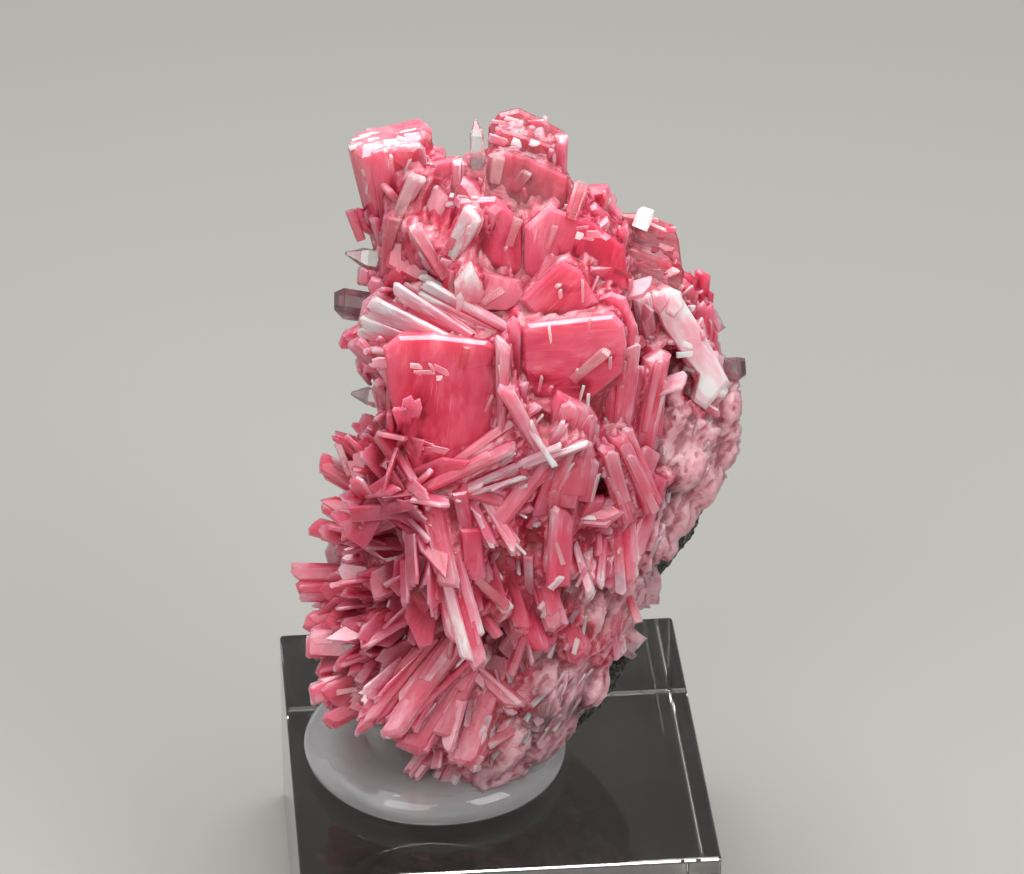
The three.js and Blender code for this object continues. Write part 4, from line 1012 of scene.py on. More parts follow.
def fillZone(zone, way, xs, ys, heights, rng):
    made = []
    grid, spacing, shake = envelope["step"], way["spacing"], seedRows["shake"]
    for row in range(int(seedRows["tall"] / spacing)):
        for column in range(int(seedRows["wide"] / spacing)):
            x = seedRows["left"] + (column + 0.5 * (row % 2)) * spacing + rng.uniform(-shake, shake) * spacing
            y = seedRows["bottom"] + row * spacing + rng.uniform(-shake, shake) * spacing
            i, j = int(round((y - ys[0]) / grid)), int(round((x - xs[0]) / grid))
            if not (0 <= i < len(ys) and 0 <= j < len(xs)) or heights[i, j] < -50:
                continue
            if any(math.dist((x, y), pit) < radius for pit, radius in pits):
                continue
            tip = Vector((x, y, heights[i, j] - rng.uniform(*way["below"])))
            if zoneOf(tip, outOfFace) != zone or not seenWithin(tip):
                continue
            axis = jittered(flowAt(tip), way["lean"], rng)
            long = rng.uniform(*way["long"])
            wide, thick = rng.uniform(*way["wide"]), rng.uniform(*way["thick"])
            wide = max(wide, thick)
            foot = tip - axis * long
            outward = Vector((x * 0.03, y * 0.01, 1)).normalized()
            place = standingFrame(foot, axis, outward, rng.gauss(0, 24))
            if not seenWithin(foot) or not clearOfEdge(place, wide, long):
                continue
            steps = [foot + axis * long * share for share in (0.4, 0.6, 0.8, 1)]
            if any(underSlab(step) or overLead(step) for step in steps):
                continue
            look = (rng.random(), rng.uniform(*way["pale"]), way["dull"])
            top = topOf[rng.choice(way["tops"])]
            made.append(plate(f"fill{len(made)}", place, wide, thick, long, top, rng, look))
    return made


def fillCrystals(seed):
    # middle-sized crystals that grow with their neighbours and close the ground between them
    rng = random.Random(seed)
    xs, ys, heights = envelopeOf(envelope["step"], envelope["window"])
    made = []
    for zone, way in fill.items():
        made += fillZone(zone, way, xs, ys, heights, rng)
    return made


hidden = dict(  # crystals over the back and the sides, in millimetres
    count=520, spread=0.8, lift=0.2, long=(5.0, 8.5), wide=(1.6, 4.2), thick=(1.0, 2.2), sunk=2.5,
    facing=0.2, rockSpare=1.2, breakSpare=0.6, edgeSpare=1.0, growth=(0.8, 0.4), paleness=0.04, flare=1.12,
)
rockTree = treeOf(nodes["host_rock"].data, toFace @ nodes["host_rock"].matrix_world)


def insideOtherLobe(point, own):
    for lobe in lobes:
        if lobe is not own:
            offset = [(point[i] - lobe[0][i]) / lobe[1][i] for i in range(3)]
            if math.hypot(*offset) < 1:
                return True
    return False


def hiddenBooks(seed):
    # crystals spread evenly over the lobes by the golden angle, leaning out and a little up
    rng = random.Random(seed)
    made = []
    for i in range(hidden["count"]):
        lobe = lobes[i % len(lobes)]
        up = 1 - 2 * (i + 0.5) / hidden["count"]
        turn = i * math.pi * (3 - math.sqrt(5))
        around = math.sqrt(1 - up * up)
        normal = Vector((around * math.cos(turn), up, around * math.sin(turn)))
        if normal.z > hidden["facing"]:
            continue
        start = Vector([lobe[0][k] + normal[k] * lobe[1][k] for k in range(3)])
        lean = [rng.uniform(-0.5, 0.5) for k in range(3)]
        lean[1] += hidden["lift"]
        heading = (normal + Vector(lean) * hidden["spread"]).normalized()
        long = rng.uniform(*hidden["long"])
        foot, tip = start - normal * hidden["sunk"], start + heading * (long - hidden["sunk"])
        wide, thick = rng.uniform(*hidden["wide"]), rng.uniform(*hidden["thick"])
        place = standingFrame(foot, tip - foot, outOfFace)
        byRock = rockTree.find_nearest(tip, hidden["rockSpare"])[0]
        throughRock = rockTree.ray_cast(start, heading, long)[0]
        pastBreak = tip.dot(broken["normal"]) > broken["offset"] + hidden["breakSpare"]
        fullWide, fullLong = wide + hidden["growth"][0], long + hidden["growth"][1]
        if byRock or throughRock or pastBreak or insideOtherLobe(tip, lobe):
            continue
        if not clearOfEdge(place, fullWide, fullLong, hidden["edgeSpare"]):
            continue
        roll = rng.uniform(-90, 90)
        top = rng.choice(("chisel", "chisel", "flat"))
        shape = (max(wide, thick), thick, roll, top, 1, rng.choice((0, 2)))
        made.append((foot, tip, *shape, hidden["paleness"], hidden["flare"]))
    return made


def booleanOf(mesh, others, operation):
    # joins or cuts closed meshes, and clears the operands away
    collection = bpy.data.collections.new("operands")
    for other in others:
        collection.objects.link(bpy.data.objects.new(other.name, other))
    target = bpy.data.objects.new("target", mesh)
    scene.collection.objects.link(target)
    modifier = target.modifiers.new("boolean", "BOOLEAN")
    modifier.operation = operation
    modifier.operand_type = "COLLECTION"
    modifier.collection = collection
    modifier.solver = "MANIFOLD"
    made = applied(target)
    for thing in list(collection.objects):
        data = thing.data
        bpy.data.objects.remove(thing)
        bpy.data.meshes.remove(data)
    bpy.data.collections.remove(collection)
    return made


def shellsOf(bm):
    bm.verts.ensure_lookup_table()
    seen = set()
    shells = []
    for start in bm.verts:
        if start in seen:
            continue
        seen.add(start)
        shell, edge = [], [start]
        while edge:
            vertex = edge.pop()
            shell.append(vertex)
            for link in vertex.link_edges:
                other = link.other_vert(vertex)
                if other not in seen:
                    seen.add(other)
                    edge.append(other)
        shells.append(shell)
    return sorted(shells, key=len)


def dropSmallShells(mesh, least):
    # drops the loose bits of fewer than least points that a cut leaves, and says how many
    bm = bmesh.new()
    bm.from_mesh(mesh)
    small = [shell for shell in shellsOf(bm)[:-1] if len(shell) < least]
    for shell in small:
        bmesh.ops.delete(bm, geom=shell, context="VERTS")
    bm.to_mesh(mesh)
    bm.free()
    return len(small)


def joinedMesh(meshes):
    bm = bmesh.new()
    for mesh in meshes:
        bm.from_mesh(mesh)
    joined = bpy.data.meshes.new("joined")
    bm.to_mesh(joined)
    bm.free()
    return joined


growthRng = random.Random(17)
solids = []
for name, (outline, plane, thick, way, tone, pale, dull) in slabs.items():
    solids.append(slab(name, outline, plane, thick, way, (tone, pale, dull)))
for number, book in enumerate(books):
    solids += growBook(number, book, growthRng)
handCount = len(solids)
for number, book in enumerate(hiddenBooks(5)):
    solids += growBook(f"Hidden{number}", book, growthRng)
hiddenCount = len(solids) - handCount
solids += fillCrystals(19)
fillCount = len(solids) - handCount - hiddenCount
report(f"{handCount} solids by hand, {hiddenCount} on the hidden sides, {fillCount} fillers")
bodyMesh = massiveBody([mesh for mesh in solids if not mesh.name.startswith("fibre")])
bodyEntry = whoOf(bodyMesh)
report(f"massive body: {len(bodyMesh.polygons)} faces")
sharpBody = joinedMesh(solids + [bodyMesh])

# clear little prisms and bright slivers: foot, tip, width, thickness, roll, top, paleness; the bright slivers
# are pale chips that stand for painted glints
clearPrisms = [
    ((-11.0, 17.4, 13.2), (-8.6, 22.6, 16.4), 1.5, 1.3, 20, "flat", 0.9),
    ((-11.1, 15.6, 13.4), (-10.3, 19.0, 15.2), 1.7, 1.2, 0, "flat", 0.6),
    ((-6.0, 13.8, 15.2), (-8.9, 18.2, 16.6), 1.5, 1.1, 15, "chisel", 0.7),
    ((-5.6, 16.4, 16.2), (-3.3, 19.6, 17.8), 1.3, 1.1, -20, "flat", 1.0),
    ((-0.4, 16.6, 17.0), (0.4, 18.9, 17.6), 1.3, 1.0, 0, "flat", 0.9),
    ((2.9, 16.4, 15.0), (3.6, 18.4, 15.4), 0.9, 0.8, 0, "flat", 0.8),
    ((-8.2, 20.6, 14.6), (-7.4, 22.4, 15.0), 0.9, 0.8, 0, "flat", 0.8),
    ((4.9, 19.0, 14.4), (5.9, 22.2, 15.4), 1.6, 1.4, 20, "flat", 0.9),
    ((-1.7, 22.0, 16.4), (-1.3, 24.4, 17.2), 1.7, 0.9, 0, "chisel", 1.0),
    ((0.0, 21.4, 16.6), (1.2, 23.0, 17.2), 1.6, 0.8, 12, "chisel", 0.9),
    ((-13.4, 17.2, 10.6), (-14.4, 19.8, 11.0), 1.3, 1.1, 0, "flat", 0.7),
    ((-2.6, 11.6, 16.2), (-0.9, 12.8, 17.0), 1.1, 0.8, 0, "flat", 0.9),
    ((5.2, 5.0, 16.0), (8.3, 7.6, 16.6), 1.5, 1.0, 10, "chisel", 0.9),
    ((1.6, 3.1, 15.8), (3.4, 2.3, 16.2), 0.8, 0.8, 0, "chisel", 0.9),
    ((-4.4, 6.0, 15.9), (-4.0, 7.8, 16.1), 0.9, 0.7, 0, "flat", 0.8),
    ((0.4, -1.8, 15.4), (1.3, -3.4, 15.8), 1.1, 0.9, 0, "chisel", 0.8),
    ((-3.0, -12.6, 10.2), (-0.2, -15.0, 10.6), 1.3, 0.9, 0, "chisel", 0.9),
    ((3.9, -9.2, 9.4), (4.6, -11.2, 9.6), 0.7, 0.6, 0, "flat", 0.9),
    ((-13.8, -18.2, 4.8), (-15.2, -18.4, 4.0), 0.9, 0.8, 0, "jag", 0.9),
    ((-13.6, -22.6, 4.2), (-15.6, -23.0, 3.4), 0.8, 0.7, 0, "jag", 0.8),
    ((-12.8, -24.6, 4.0), (-13.9, -24.0, 3.8), 0.9, 0.7, 0, "jag", 0.8),
    ((-14.4, -3.6, 4.2), (-15.6, -0.7, 4.0), 0.9, 0.5, 30, "chisel", 1.0),
    ((-9.8, 0.2, 13.8), (-8.8, -1.6, 14.4), 0.6, 0.5, 0, "chisel", 0.9),
    ((0.2, -26.4, 1.4), (-2.0, -27.6, 1.8), 1.6, 0.6, 20, "jag", 1.0),
    ((10.6, -14.2, 5.4), (11.4, -16.4, 5.2), 1.2, 0.7, 0, "jag", 0.9),
]


def dropToBody(point, tree):
    # the point moved along the line of sight to where it meets the body
    heading = (point - eye).normalized()
    hit = tree.ray_cast(eye, heading)[0]
    return point if hit is None else hit


prismGrowth = dict(size=0.72, lift=0.3, sunk=0.1, jump=3, step=1.2, paleness=0.5, flare=1.1)


def smallClearPrisms(tree, seed):
    rng = random.Random(seed)
    made = []
    for number, (foot, tip, wide, thick, roll, top, pale) in enumerate(clearPrisms):
        foot, tip = dropToBody(Vector(foot), tree), dropToBody(Vector(tip), tree)
        if abs(tip.z - foot.z) > prismGrowth["jump"]:
            tip.z = foot.z + math.copysign(prismGrowth["step"], tip.z - foot.z)
        wide, thick = wide * prismGrowth["size"], thick * prismGrowth["size"]
        along = tip + outOfFace * thick * prismGrowth["lift"] - foot
        place = standingFrame(foot - outOfFace * thick * prismGrowth["sunk"], along, outOfFace, roll)
        look, flare = (rng.random(), pale * prismGrowth["paleness"], 0), prismGrowth["flare"]
        made.append(blade(f"prism{number}", place, wide, thick, along.length, top, rng, look, flare))
    return made


# the pale tiles paint highlights and reflections on the crystal tops and the bright band; the dark ones
# darken the dark plate, partly with painted shade
patchGrowth = [  # low tiles on the crystals: middle, reach across and up, count, palenesses
    ((-10.6, 25.9), (3.6, 1.1), 22, (0.5, 0.8, 1.1)),
    ((0.6, 27.2), (2.9, 0.9), 8, (0.1, 0.5, 0.9)),
    ((0.8, 25.5), (2.3, 0.35), 3, (0.5, 0.8, 1.1)),
    ((6.8, 17.8), (1.6, 0.5), 5, (0.5, 0.8, 1.1)),
    ((-5.4, 20.6), (1.8, 0.6), 6, (0.5, 0.8, 1.1)),
    ((-7.6, 5.6), (1.6, 0.8), 5, (0.5, 0.8, 1.1)),
    ((-7.0, -0.8), (1.0, 0.5), 4, (0.5, 0.8, 1.1)),
    ((12.0, 16.6), (2.6, 2.4), 22, (-0.8, -0.6, -0.5, 0.0)),
    ((13.0, 18.6), (1.6, 0.5), 5, (0.3, 0.7)),
    ((15.6, 8.2), (1.0, 3.6), 5, (1.0, 1.1)),
]


tile = dict(long=(0.5, 1.9), wide=(0.25, 0.8), thick=0.4, sunk=0.16, bevel=0.15)


def topPatches(tree, seed):
    # low tiles laid on what is seen of the crystals
    rng = random.Random(seed)
    made = []
    for (x, y), (reachX, reachY), count, pales in patchGrowth:
        for i in range(count):
            at = Vector((x + rng.uniform(-1, 1) * reachX, y + rng.uniform(-1, 1) * reachY, 14))
            heading = (at - eye).normalized()
            hit, normal = tree.ray_cast(eye, heading)[:2]
            if hit is None:
                continue
            way = Vector((1, rng.uniform(-0.5, 0.1), rng.uniform(-0.3, 0.3)))
            way = (way - normal * way.dot(normal)).normalized()
            long, wide = rng.uniform(*tile["long"]), rng.uniform(*tile["wide"])
            place = standingFrame(hit - way * long / 2 - normal * tile["sunk"], way, normal)
            look = (rng.random(), rng.choice(pales), 0.2 * (pales[0] < 0))
            name, thick, bevel = f"patch{len(made)}", tile["thick"], tile["bevel"]
            made.append(plate(name, place, wide, thick, long, "chisel", rng, look, 1.0, bevel))
    return made


bodyTree = treeOf(sharpBody)
prismSolids = smallClearPrisms(bodyTree, 41)
prismMesh = booleanOf(prismSolids[0], prismSolids[1:], "UNION")
small = topPatches(bodyTree, 37) + splinters(sharpBody, bodyTree, 0.55, 23)
report(f"{len(small)} splinters")
crystalMesh = booleanOf(solids[0], solids[1:] + small, "UNION")
report(f"crystals joined: {len(crystalMesh.polygons)} faces")

# host rock: the CAD slab with a broken, grainy surface

rock = dict(voxel=0.33, coarse=0.55, fine=0.22, grain=0.12, seed=3, sunk=0.30, least=0.02)


def ownedPiece(name, mesh, slot, *stoodFor):
    piece = bpy.data.objects.new(name, mesh)
    scene.collection.objects.link(piece)
    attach(piece, "root")
    if stoodFor:
        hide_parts(*stoodFor)
    return piece


def brokenRock():
    mesh = nodes["host_rock"].data.copy()
    mesh.transform(toFace)
    mesh = remeshed(mesh, rock["voxel"])
    shift = Vector((3.1, 7.7, 1.3)) * rock["seed"]
    normals = [Vector(normal.vector) for normal in mesh.vertex_normals]
    for vertex, normal in zip(mesh.vertices, normals):
        at = vertex.co + shift
        chip = noise.voronoi(at * 0.55)[0]
        depth = rock["coarse"] * (0.5 - chip[0]) + rock["fine"] * noise.noise(at * 2.2)
        depth -= rock["grain"] * abs(noise.noise(at * 5.0))
        vertex.co -= normal * max(rock["least"], rock["sunk"] - depth)
    return mesh


rockMesh = brokenRock()
report(f"host rock: {len(rockMesh.polygons)} faces")


def finished(mesh):
    # from the specimen's frame in millimetres to the row frame in metres
    mesh.transform(toRow)
    return mesh


# gum pad

gum = dict(
    segments=96, wobble=0.012, sag=0.03,
    profile=[  # shares of the radius and the height, from the middle of the underside round to the dish
        (0, 0), (0.45, 0), (0.86, 0), (0.93, 0.012), (0.965, 0.07), (0.985, 0.16), (0.996, 0.27),
        (1, 0.38), (0.995, 0.5), (0.978, 0.63), (0.945, 0.76), (0.90, 0.87), (0.84, 0.945), (0.77, 0.99),
        (0.70, 1.0), (0.62, 0.965), (0.52, 0.87), (0.42, 0.74), (0.30, 0.62), (0.16, 0.53), (0, 0.5),
    ],
)
gumLow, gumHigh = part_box("gum_pad")


def gumMesh(spare=0.0):
    # a low pressed pad: a full rounded edge and a dished top, in millimetres in the row frame
    middle = (gumLow + gumHigh) / 2 / mm
    radius = (gumHigh.x - gumLow.x) / 2 / mm + spare
    low, tall = gumLow.z / mm - spare, (gumHigh.z - gumLow.z) / mm + 2 * spare
    bm = bmesh.new()
    rings = []
    for share, up in gum["profile"]:
        if share == 0:
            rings.append([bm.verts.new((middle.x, middle.y, low + up * tall))])
            continue
        ring = []
        for i in range(gum["segments"]):
            turn = math.tau * i / gum["segments"]
            press = 1 - gum["wobble"] * (1 + math.sin(3 * turn + 0.6) * 0.6 + math.sin(5 * turn + 2.0) * 0.4)
            reach = radius * share * press
            sag = 1 - gum["sag"] * share * (1 + math.sin(2 * turn + 1.2)) * (up > 0.5)
            x, y = middle.x + reach * math.cos(turn), middle.y + reach * math.sin(turn)
            ring.append(bm.verts.new((x, y, low + up * tall * sag)))
        rings.append(ring)
    for lower, upper in zip(rings, rings[1:]):
        count = max(len(lower), len(upper))
        for i in range(count):
            j = (i + 1) % count
            if len(lower) == 1:
                bm.faces.new((lower[0], upper[j], upper[i]))
            elif len(upper) == 1:
                bm.faces.new((lower[i], lower[j], upper[0]))
            else:
                bm.faces.new((lower[i], lower[j], upper[j], upper[i]))
    mesh = bpy.data.meshes.new("gum")
    bm.to_mesh(mesh)
    bm.free()
    return mesh


# accessory crystals

accessories = {
    "quartz_crystal_crown": dict(
        foot=(-3.3, 23.4, 14.9), tip=(-3.3, 27.5, 16), wide=1.3, thick=1.2, roll=0,
        top="point",
    ),
    "quartz_crystal_left_upper": dict(
        foot=(-10.4, 15.3, 8.4), tip=(-14.8, 15.9, 9.6), wide=1.9, thick=1.7, roll=0,
        top="point",
    ),
    "quartz_crystal_left_lower": dict(
        foot=(-9.8, 2.9, 6.6), tip=(-14.3, 3.8, 7), wide=1.8, thick=1.4, roll=15,
        top="point",
    ),
    "smoky_quartz_left": dict(
        foot=(-9.6, 11, 5.4), tip=(-15.9, 11.9, 6.6), wide=2.8, thick=2, roll=30,
        top="chisel",
    ),
    "smoky_quartz_right": dict(
        foot=(16.2, 6, 2.6), tip=(20.9, 6.3, 1.7), wide=2.4, thick=1.8, roll=10,
        top="chisel",
    ),
    "calcite_flake": dict(
        foot=(11.1, 18.5, 8.8), tip=(11.8, 20.3, 9.0), wide=1.6, thick=0.7, roll=0,
        top="chisel",
    ),
}


def accessoryParts(name, way, rng):
    # a main crystal with a few smaller ones on its sides
    foot, tip = Vector(way["foot"]), Vector(way["tip"])
    along = tip - foot
    long = along.length
    place = standingFrame(foot, along, outOfFace, way["roll"])
    look = (rng.random(), 0.5, 0)
    wide, thick, top = way["wide"] * 0.94, way["thick"] * 0.94, way["top"]
    parts = [blade(name, place, wide, thick, long, top, rng, look, 1.04, 0.05)]
    for side in (-1, 1, 1):
        wide = way["wide"] * rng.uniform(0.36, 0.55)
        thick = way["thick"] * rng.uniform(0.4, 0.6)
        aside = side * (way["wide"] - wide) * 0.45
        forward = rng.uniform(-0.4, 0.4) * (way["thick"] - thick)
        beside = place @ Matrix.Translation((aside, forward, 0))
        parts.append(blade(name, beside, wide, thick, long * rng.uniform(0.62, 0.86), top, rng, look, 1.04))
    return booleanOf(parts[0], parts[1:], "UNION")


accessoryRng = random.Random(29)
accessoryMeshes = {name: accessoryParts(name, way, accessoryRng) for name, way in accessories.items()}

# the cluster is cut clear of the rock, the gum, the block and its accessory crystals

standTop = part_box("acrylic_block")[1].z / mm
gumSolid = gumMesh(0.02)
gumSolid.transform(toFace @ Matrix.Scale(mm, 4))
belowBlock = boxMesh("belowBlock", (-60, -60, standTop - 40), (60, 60, standTop + 0.9))
belowBlock.transform(toFace @ Matrix.Scale(mm, 4))
cutters = [rockMesh, gumSolid, belowBlock] + list(accessoryMeshes.values())
bodyMesh = booleanOf(bodyMesh, [mesh.copy() for mesh in cutters], "DIFFERENCE")
crystalMesh = booleanOf(crystalMesh, [mesh.copy() for mesh in cutters], "DIFFERENCE")
prismMesh = booleanOf(prismMesh, [mesh.copy() for mesh in cutters], "DIFFERENCE")
dropped = dropSmallShells(bodyMesh, least=400) + dropSmallShells(crystalMesh, least=12)
faceCounts = f"{len(bodyMesh.polygons)} and {len(crystalMesh.polygons)} faces"
report(f"cluster cut clear: {faceCounts}, {dropped} loose bits dropped")

# what each point of the cluster knows about its crystal

grownBack = np.array([[list(row) for row in entry[0]] for entry in grown])
grownSize = np.array([entry[1:4] for entry in grown])
turnToRow = np.array(toRow.to_3x3().normalized())
grownAxis = np.array([list(entry[4]) for entry in grown]) @ turnToRow.T
grownLook = np.array([entry[5] for entry in grown], float)


def pointsOf(mesh):
    co = np.zeros(len(mesh.vertices) * 3)
    mesh.vertices.foreach_get("co", co)
    return co.reshape(-1, 3)


def placeOn(points, who):
    # across and through from -1 to 1, along from 0 to 1
    flat = np.concatenate([points, np.ones((len(points), 1))], axis=1)
    local = np.einsum("nij,nj->ni", grownBack[who], flat)[:, :3]
    return local / grownSize[who]


def softened(values, mesh, rounds):
    # each point's value averaged with its neighbours'
    edges = np.zeros(len(mesh.edges) * 2, np.int32)
    mesh.edges.foreach_get("vertices", edges)
    a, b = edges[0::2], edges[1::2]
    count = len(mesh.vertices)
    shared = np.maximum(1, np.bincount(a, minlength=count) + np.bincount(b, minlength=count))
    values = np.array(values, float).reshape(count, -1)
    for turn in range(rounds):
        for column in range(values.shape[1]):
            part = values[:, column]
            total = np.bincount(a, part[b], count) + np.bincount(b, part[a], count)
            values[:, column] = (part + total / shared) / 2
    return values


# painted shade: the rhodonite is painted darker where this openness is low, in its hollows
def openness(mesh, tree, rays, reach=6.0, seed=8):
    # how much open space each point of the mesh sees, from 0 in a deep hollow to 1
    rng = np.random.default_rng(seed)
    spread = rng.normal(size=(rays, 3))
    spread = [Vector(way).normalized() for way in spread]
    values = np.zeros(len(mesh.vertices))
    normals = [Vector(normal.vector) for normal in mesh.vertex_normals]
    for number, (vertex, normal) in enumerate(zip(mesh.vertices, normals)):
        start = vertex.co + normal * 0.15
        total = 0.0
        for way in spread:
            heading = way if way.dot(normal) > 0 else -way
            hit = tree.ray_cast(start, heading, reach)[3]
            total += 1 if hit is None else hit / reach
        values[number] = total / rays
    return values


stains = [  # dark patches on the show face: middle, reach
    ((3, -25), 2.4), ((0.5, -24.4), 1.6), ((13.8, -4.2), 1.5),
    ((12.5, -6.8), 1.0), ((12.9, -2.4), 1.0), ((6.4, -24.6), 1.6),
]


def informBody(mesh):
    points = pointsOf(mesh)
    nearBy, who = valuesOf(mesh, "nearBy"), np.rint(valuesOf(mesh, "nearWho")).astype(int)
    who[nearBy <= 0] = bodyEntry
    look, axis = grownLook[who], softened(grownAxis[who], mesh, 2)
    look[:, 0] = softened(look[:, 0], mesh, 3)[:, 0]
    # painted shade: the ground between the crystals is painted less pale by the massive shade
    look[:, 1] = softened(np.clip(look[:, 1], -0.2, 0.4) * nearBy, mesh, 3)[:, 0] - massive["shade"] * nearBy
    look[:, 2] = softened(np.maximum(look[:, 2] * nearBy, 1 - nearBy), mesh, 4)[:, 0]
    axis /= np.linalg.norm(axis, axis=1)[:, None] + 1e-6
    normals = np.array([list(normal.vector) for normal in mesh.vertex_normals])
    # painted light: points on sharp rises and broad swells are later painted paler as highlights, points in
    # creases darker as shade
    fine = ((points - softened(points, mesh, 3)) * normals).sum(1) / massive["fineEdge"]
    broad = ((points - softened(points, mesh, 30)) * normals).sum(1) / massive["broadSwell"]
    stain = np.zeros(len(points))
    for (x, y), reach in stains:
        stain = np.maximum(stain, np.exp(-((points[:, 0] - x) ** 2 + (points[:, 1] - y) ** 2) / reach ** 2))
    addValues(mesh, "place", "FLOAT_VECTOR", "POINT", np.zeros((len(points), 3)))
    addValues(mesh, "axis", "FLOAT_VECTOR", "POINT", axis)
    addValues(mesh, "look", "FLOAT_VECTOR", "POINT", look)
    addValues(mesh, "edge", "FLOAT", "POINT", fine)
    addValues(mesh, "swell", "FLOAT", "POINT", broad)
    addValues(mesh, "stain", "FLOAT", "POINT", stain * (normals[:, 2] > -0.2))
    addValues(mesh, "open", "FLOAT", "POINT", openness(mesh, clusterTree, 7))


def dividedBroadFaces(mesh, longest, least):
    # splits the long edges of broad faces, so that what is measured at the points changes evenly over them
    bm = bmesh.new()
    bm.from_mesh(mesh)
    bmesh.ops.triangulate(bm, faces=bm.faces)
    for turn in range(4):
        broad = [face for face in bm.faces if face.calc_area() > least]
        long = {edge for face in broad for edge in face.edges if edge.calc_length() > longest}
        if not long:
            break
        bmesh.ops.subdivide_edges(bm, edges=list(long), cuts=1)
        bmesh.ops.triangulate(bm, faces=[face for face in bm.faces if len(face.verts) > 3])
    bm.to_mesh(mesh)
    bm.free()


def informCrystals(mesh, nearBody):
    faceWho = np.zeros(len(mesh.polygons), np.float32)
    mesh.attributes["who"].data.foreach_get("value", faceWho)
    faceWho = np.rint(faceWho).astype(int)
    corners = np.zeros(len(mesh.loops), np.int32)
    mesh.loops.foreach_get("vertex_index", corners)
    cornerWho = np.repeat(faceWho, [len(face.vertices) for face in mesh.polygons])
    points = pointsOf(mesh)
    addValues(mesh, "place", "FLOAT_VECTOR", "CORNER", placeOn(points[corners], cornerWho))
    addValues(mesh, "axis", "FLOAT_VECTOR", "FACE", grownAxis[faceWho])
    addValues(mesh, "look", "FLOAT_VECTOR", "FACE", grownLook[faceWho])
    count = len(mesh.vertices)
    addValues(mesh, "edge", "FLOAT", "POINT", np.zeros(count))
    addValues(mesh, "swell", "FLOAT", "POINT", np.full(count, 0.2))
    addValues(mesh, "open", "FLOAT", "POINT", openness(mesh, nearBody, 6))


clusterTree = treeOf(joinedMesh([bodyMesh, crystalMesh]))
dividedBroadFaces(crystalMesh, longest=1.5, least=1.2)
informBody(bodyMesh)
informCrystals(crystalMesh, clusterTree)
informCrystals(prismMesh, clusterTree)
report("hollows and edges measured")

massivePiece = ownedPiece("rhodoniteMassive", finished(bodyMesh), "rhodonite", "rhodonite_cluster")
for face in massivePiece.data.polygons:
    face.use_smooth = True
crystalPiece = ownedPiece("rhodoniteCrystals", finished(crystalMesh), "rhodonite", "rhodonite_cluster")
prismPiece = ownedPiece("rhodonitePrisms", finished(prismMesh), "rhodonite", "rhodonite_cluster")
for piece in (massivePiece, crystalPiece, prismPiece):
    piece.data.calc_loop_triangles()
    report(f"{piece.name}: {len(piece.data.loop_triangles)} triangles")
hostRock = ownedPiece("hostRockSlab", finished(rockMesh), "host_rock", "host_rock")
pieceNames = {
    "quartz_crystal_crown": ("crownQuartz", "clear_quartz"),
    "quartz_crystal_left_upper": ("upperLeftQuartz", "clear_quartz"),
    "quartz_crystal_left_lower": ("lowerLeftQuartz", "clear_quartz"),
    "smoky_quartz_left": ("leftSmokyQuartz", "smoky_quartz"),
    "smoky_quartz_right": ("rightSmokyQuartz", "smoky_quartz"),
    "calcite_flake": ("calciteFlake", "white_calcite"),
}
accessoryPieces = {}
for name, mesh in accessoryMeshes.items():
    pieceName, slot = pieceNames[name]
    accessoryPieces[name] = ownedPiece(pieceName, finished(mesh), slot, name)
padMesh = gumMesh()
padMesh.transform(Matrix.Scale(mm, 4))
gumPad = ownedPiece("gumPad", padMesh, "clear_gum", "gum_pad")
for face in gumPad.data.polygons:
    face.use_smooth = True

# acrylic block

block = dict(bevel=0.35, bevelSteps=3)


def blockMesh():
    low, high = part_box("acrylic_block")
    bm = bmesh.new()
    bmesh.ops.create_cube(bm, size=1)
    for vertex in bm.verts:
        vertex.co = Vector(low[i] if vertex.co[i] < 0 else high[i] for i in range(3))
    bevel = dict(offset=block["bevel"] * mm, segments=block["bevelSteps"], profile=0.5, affect="EDGES")
    bmesh.ops.bevel(bm, geom=bm.edges[:], **bevel)
    mesh = bpy.data.meshes.new("block")
    bm.to_mesh(mesh)
    bm.free()
    return mesh


acrylicBlock = ownedPiece("acrylicBlock", blockMesh(), "clear_acrylic", "acrylic_block")
report("pieces placed")

# shader helpers


def plug(tree, node, inputs):
    # each input is linked to a socket or given a value
    for key, value in inputs.items():
        if isinstance(value, bpy.types.NodeSocket):
            tree.links.new(value, node.inputs[key])
        else:
            node.inputs[key].default_value = value
    return node


def addNode(tree, kind, inputs=None, **settings):
    node = tree.nodes.new(kind)
    for name, value in settings.items():
        setattr(node, name, value)
    return plug(tree, node, inputs or {})


def maths(tree, operation, a, b=0.0):
    return addNode(tree, "ShaderNodeMath", {0: a, 1: b}, operation=operation).outputs[0]


def times(tree, a, b):
    return maths(tree, "MULTIPLY", a, b)


def plus(tree, a, b):
    return maths(tree, "ADD", a, b)


def vectorMaths(tree, operation, a, b):
    node = addNode(tree, "ShaderNodeVectorMath", {0: a, 1: b}, operation=operation)
    return node.outputs["Value" if operation == "DOT_PRODUCT" else 0]


def scaled(tree, vector, scale):
    return addNode(tree, "ShaderNodeVectorMath", {0: vector, "Scale": scale}, operation="SCALE").outputs[0]


def spanOf(tree, value, low, high, newLow=0.0, newHigh=1.0):
    inputs = {0: value, 1: low, 2: high, 3: newLow, 4: newHigh}
    return addNode(tree, "ShaderNodeMapRange", inputs, interpolation_type="SMOOTHSTEP").outputs[0]


def mixColour(tree, share, a, b):
    return addNode(tree, "ShaderNodeMix", {0: share, 6: a, 7: b}, data_type="RGBA").outputs[2]


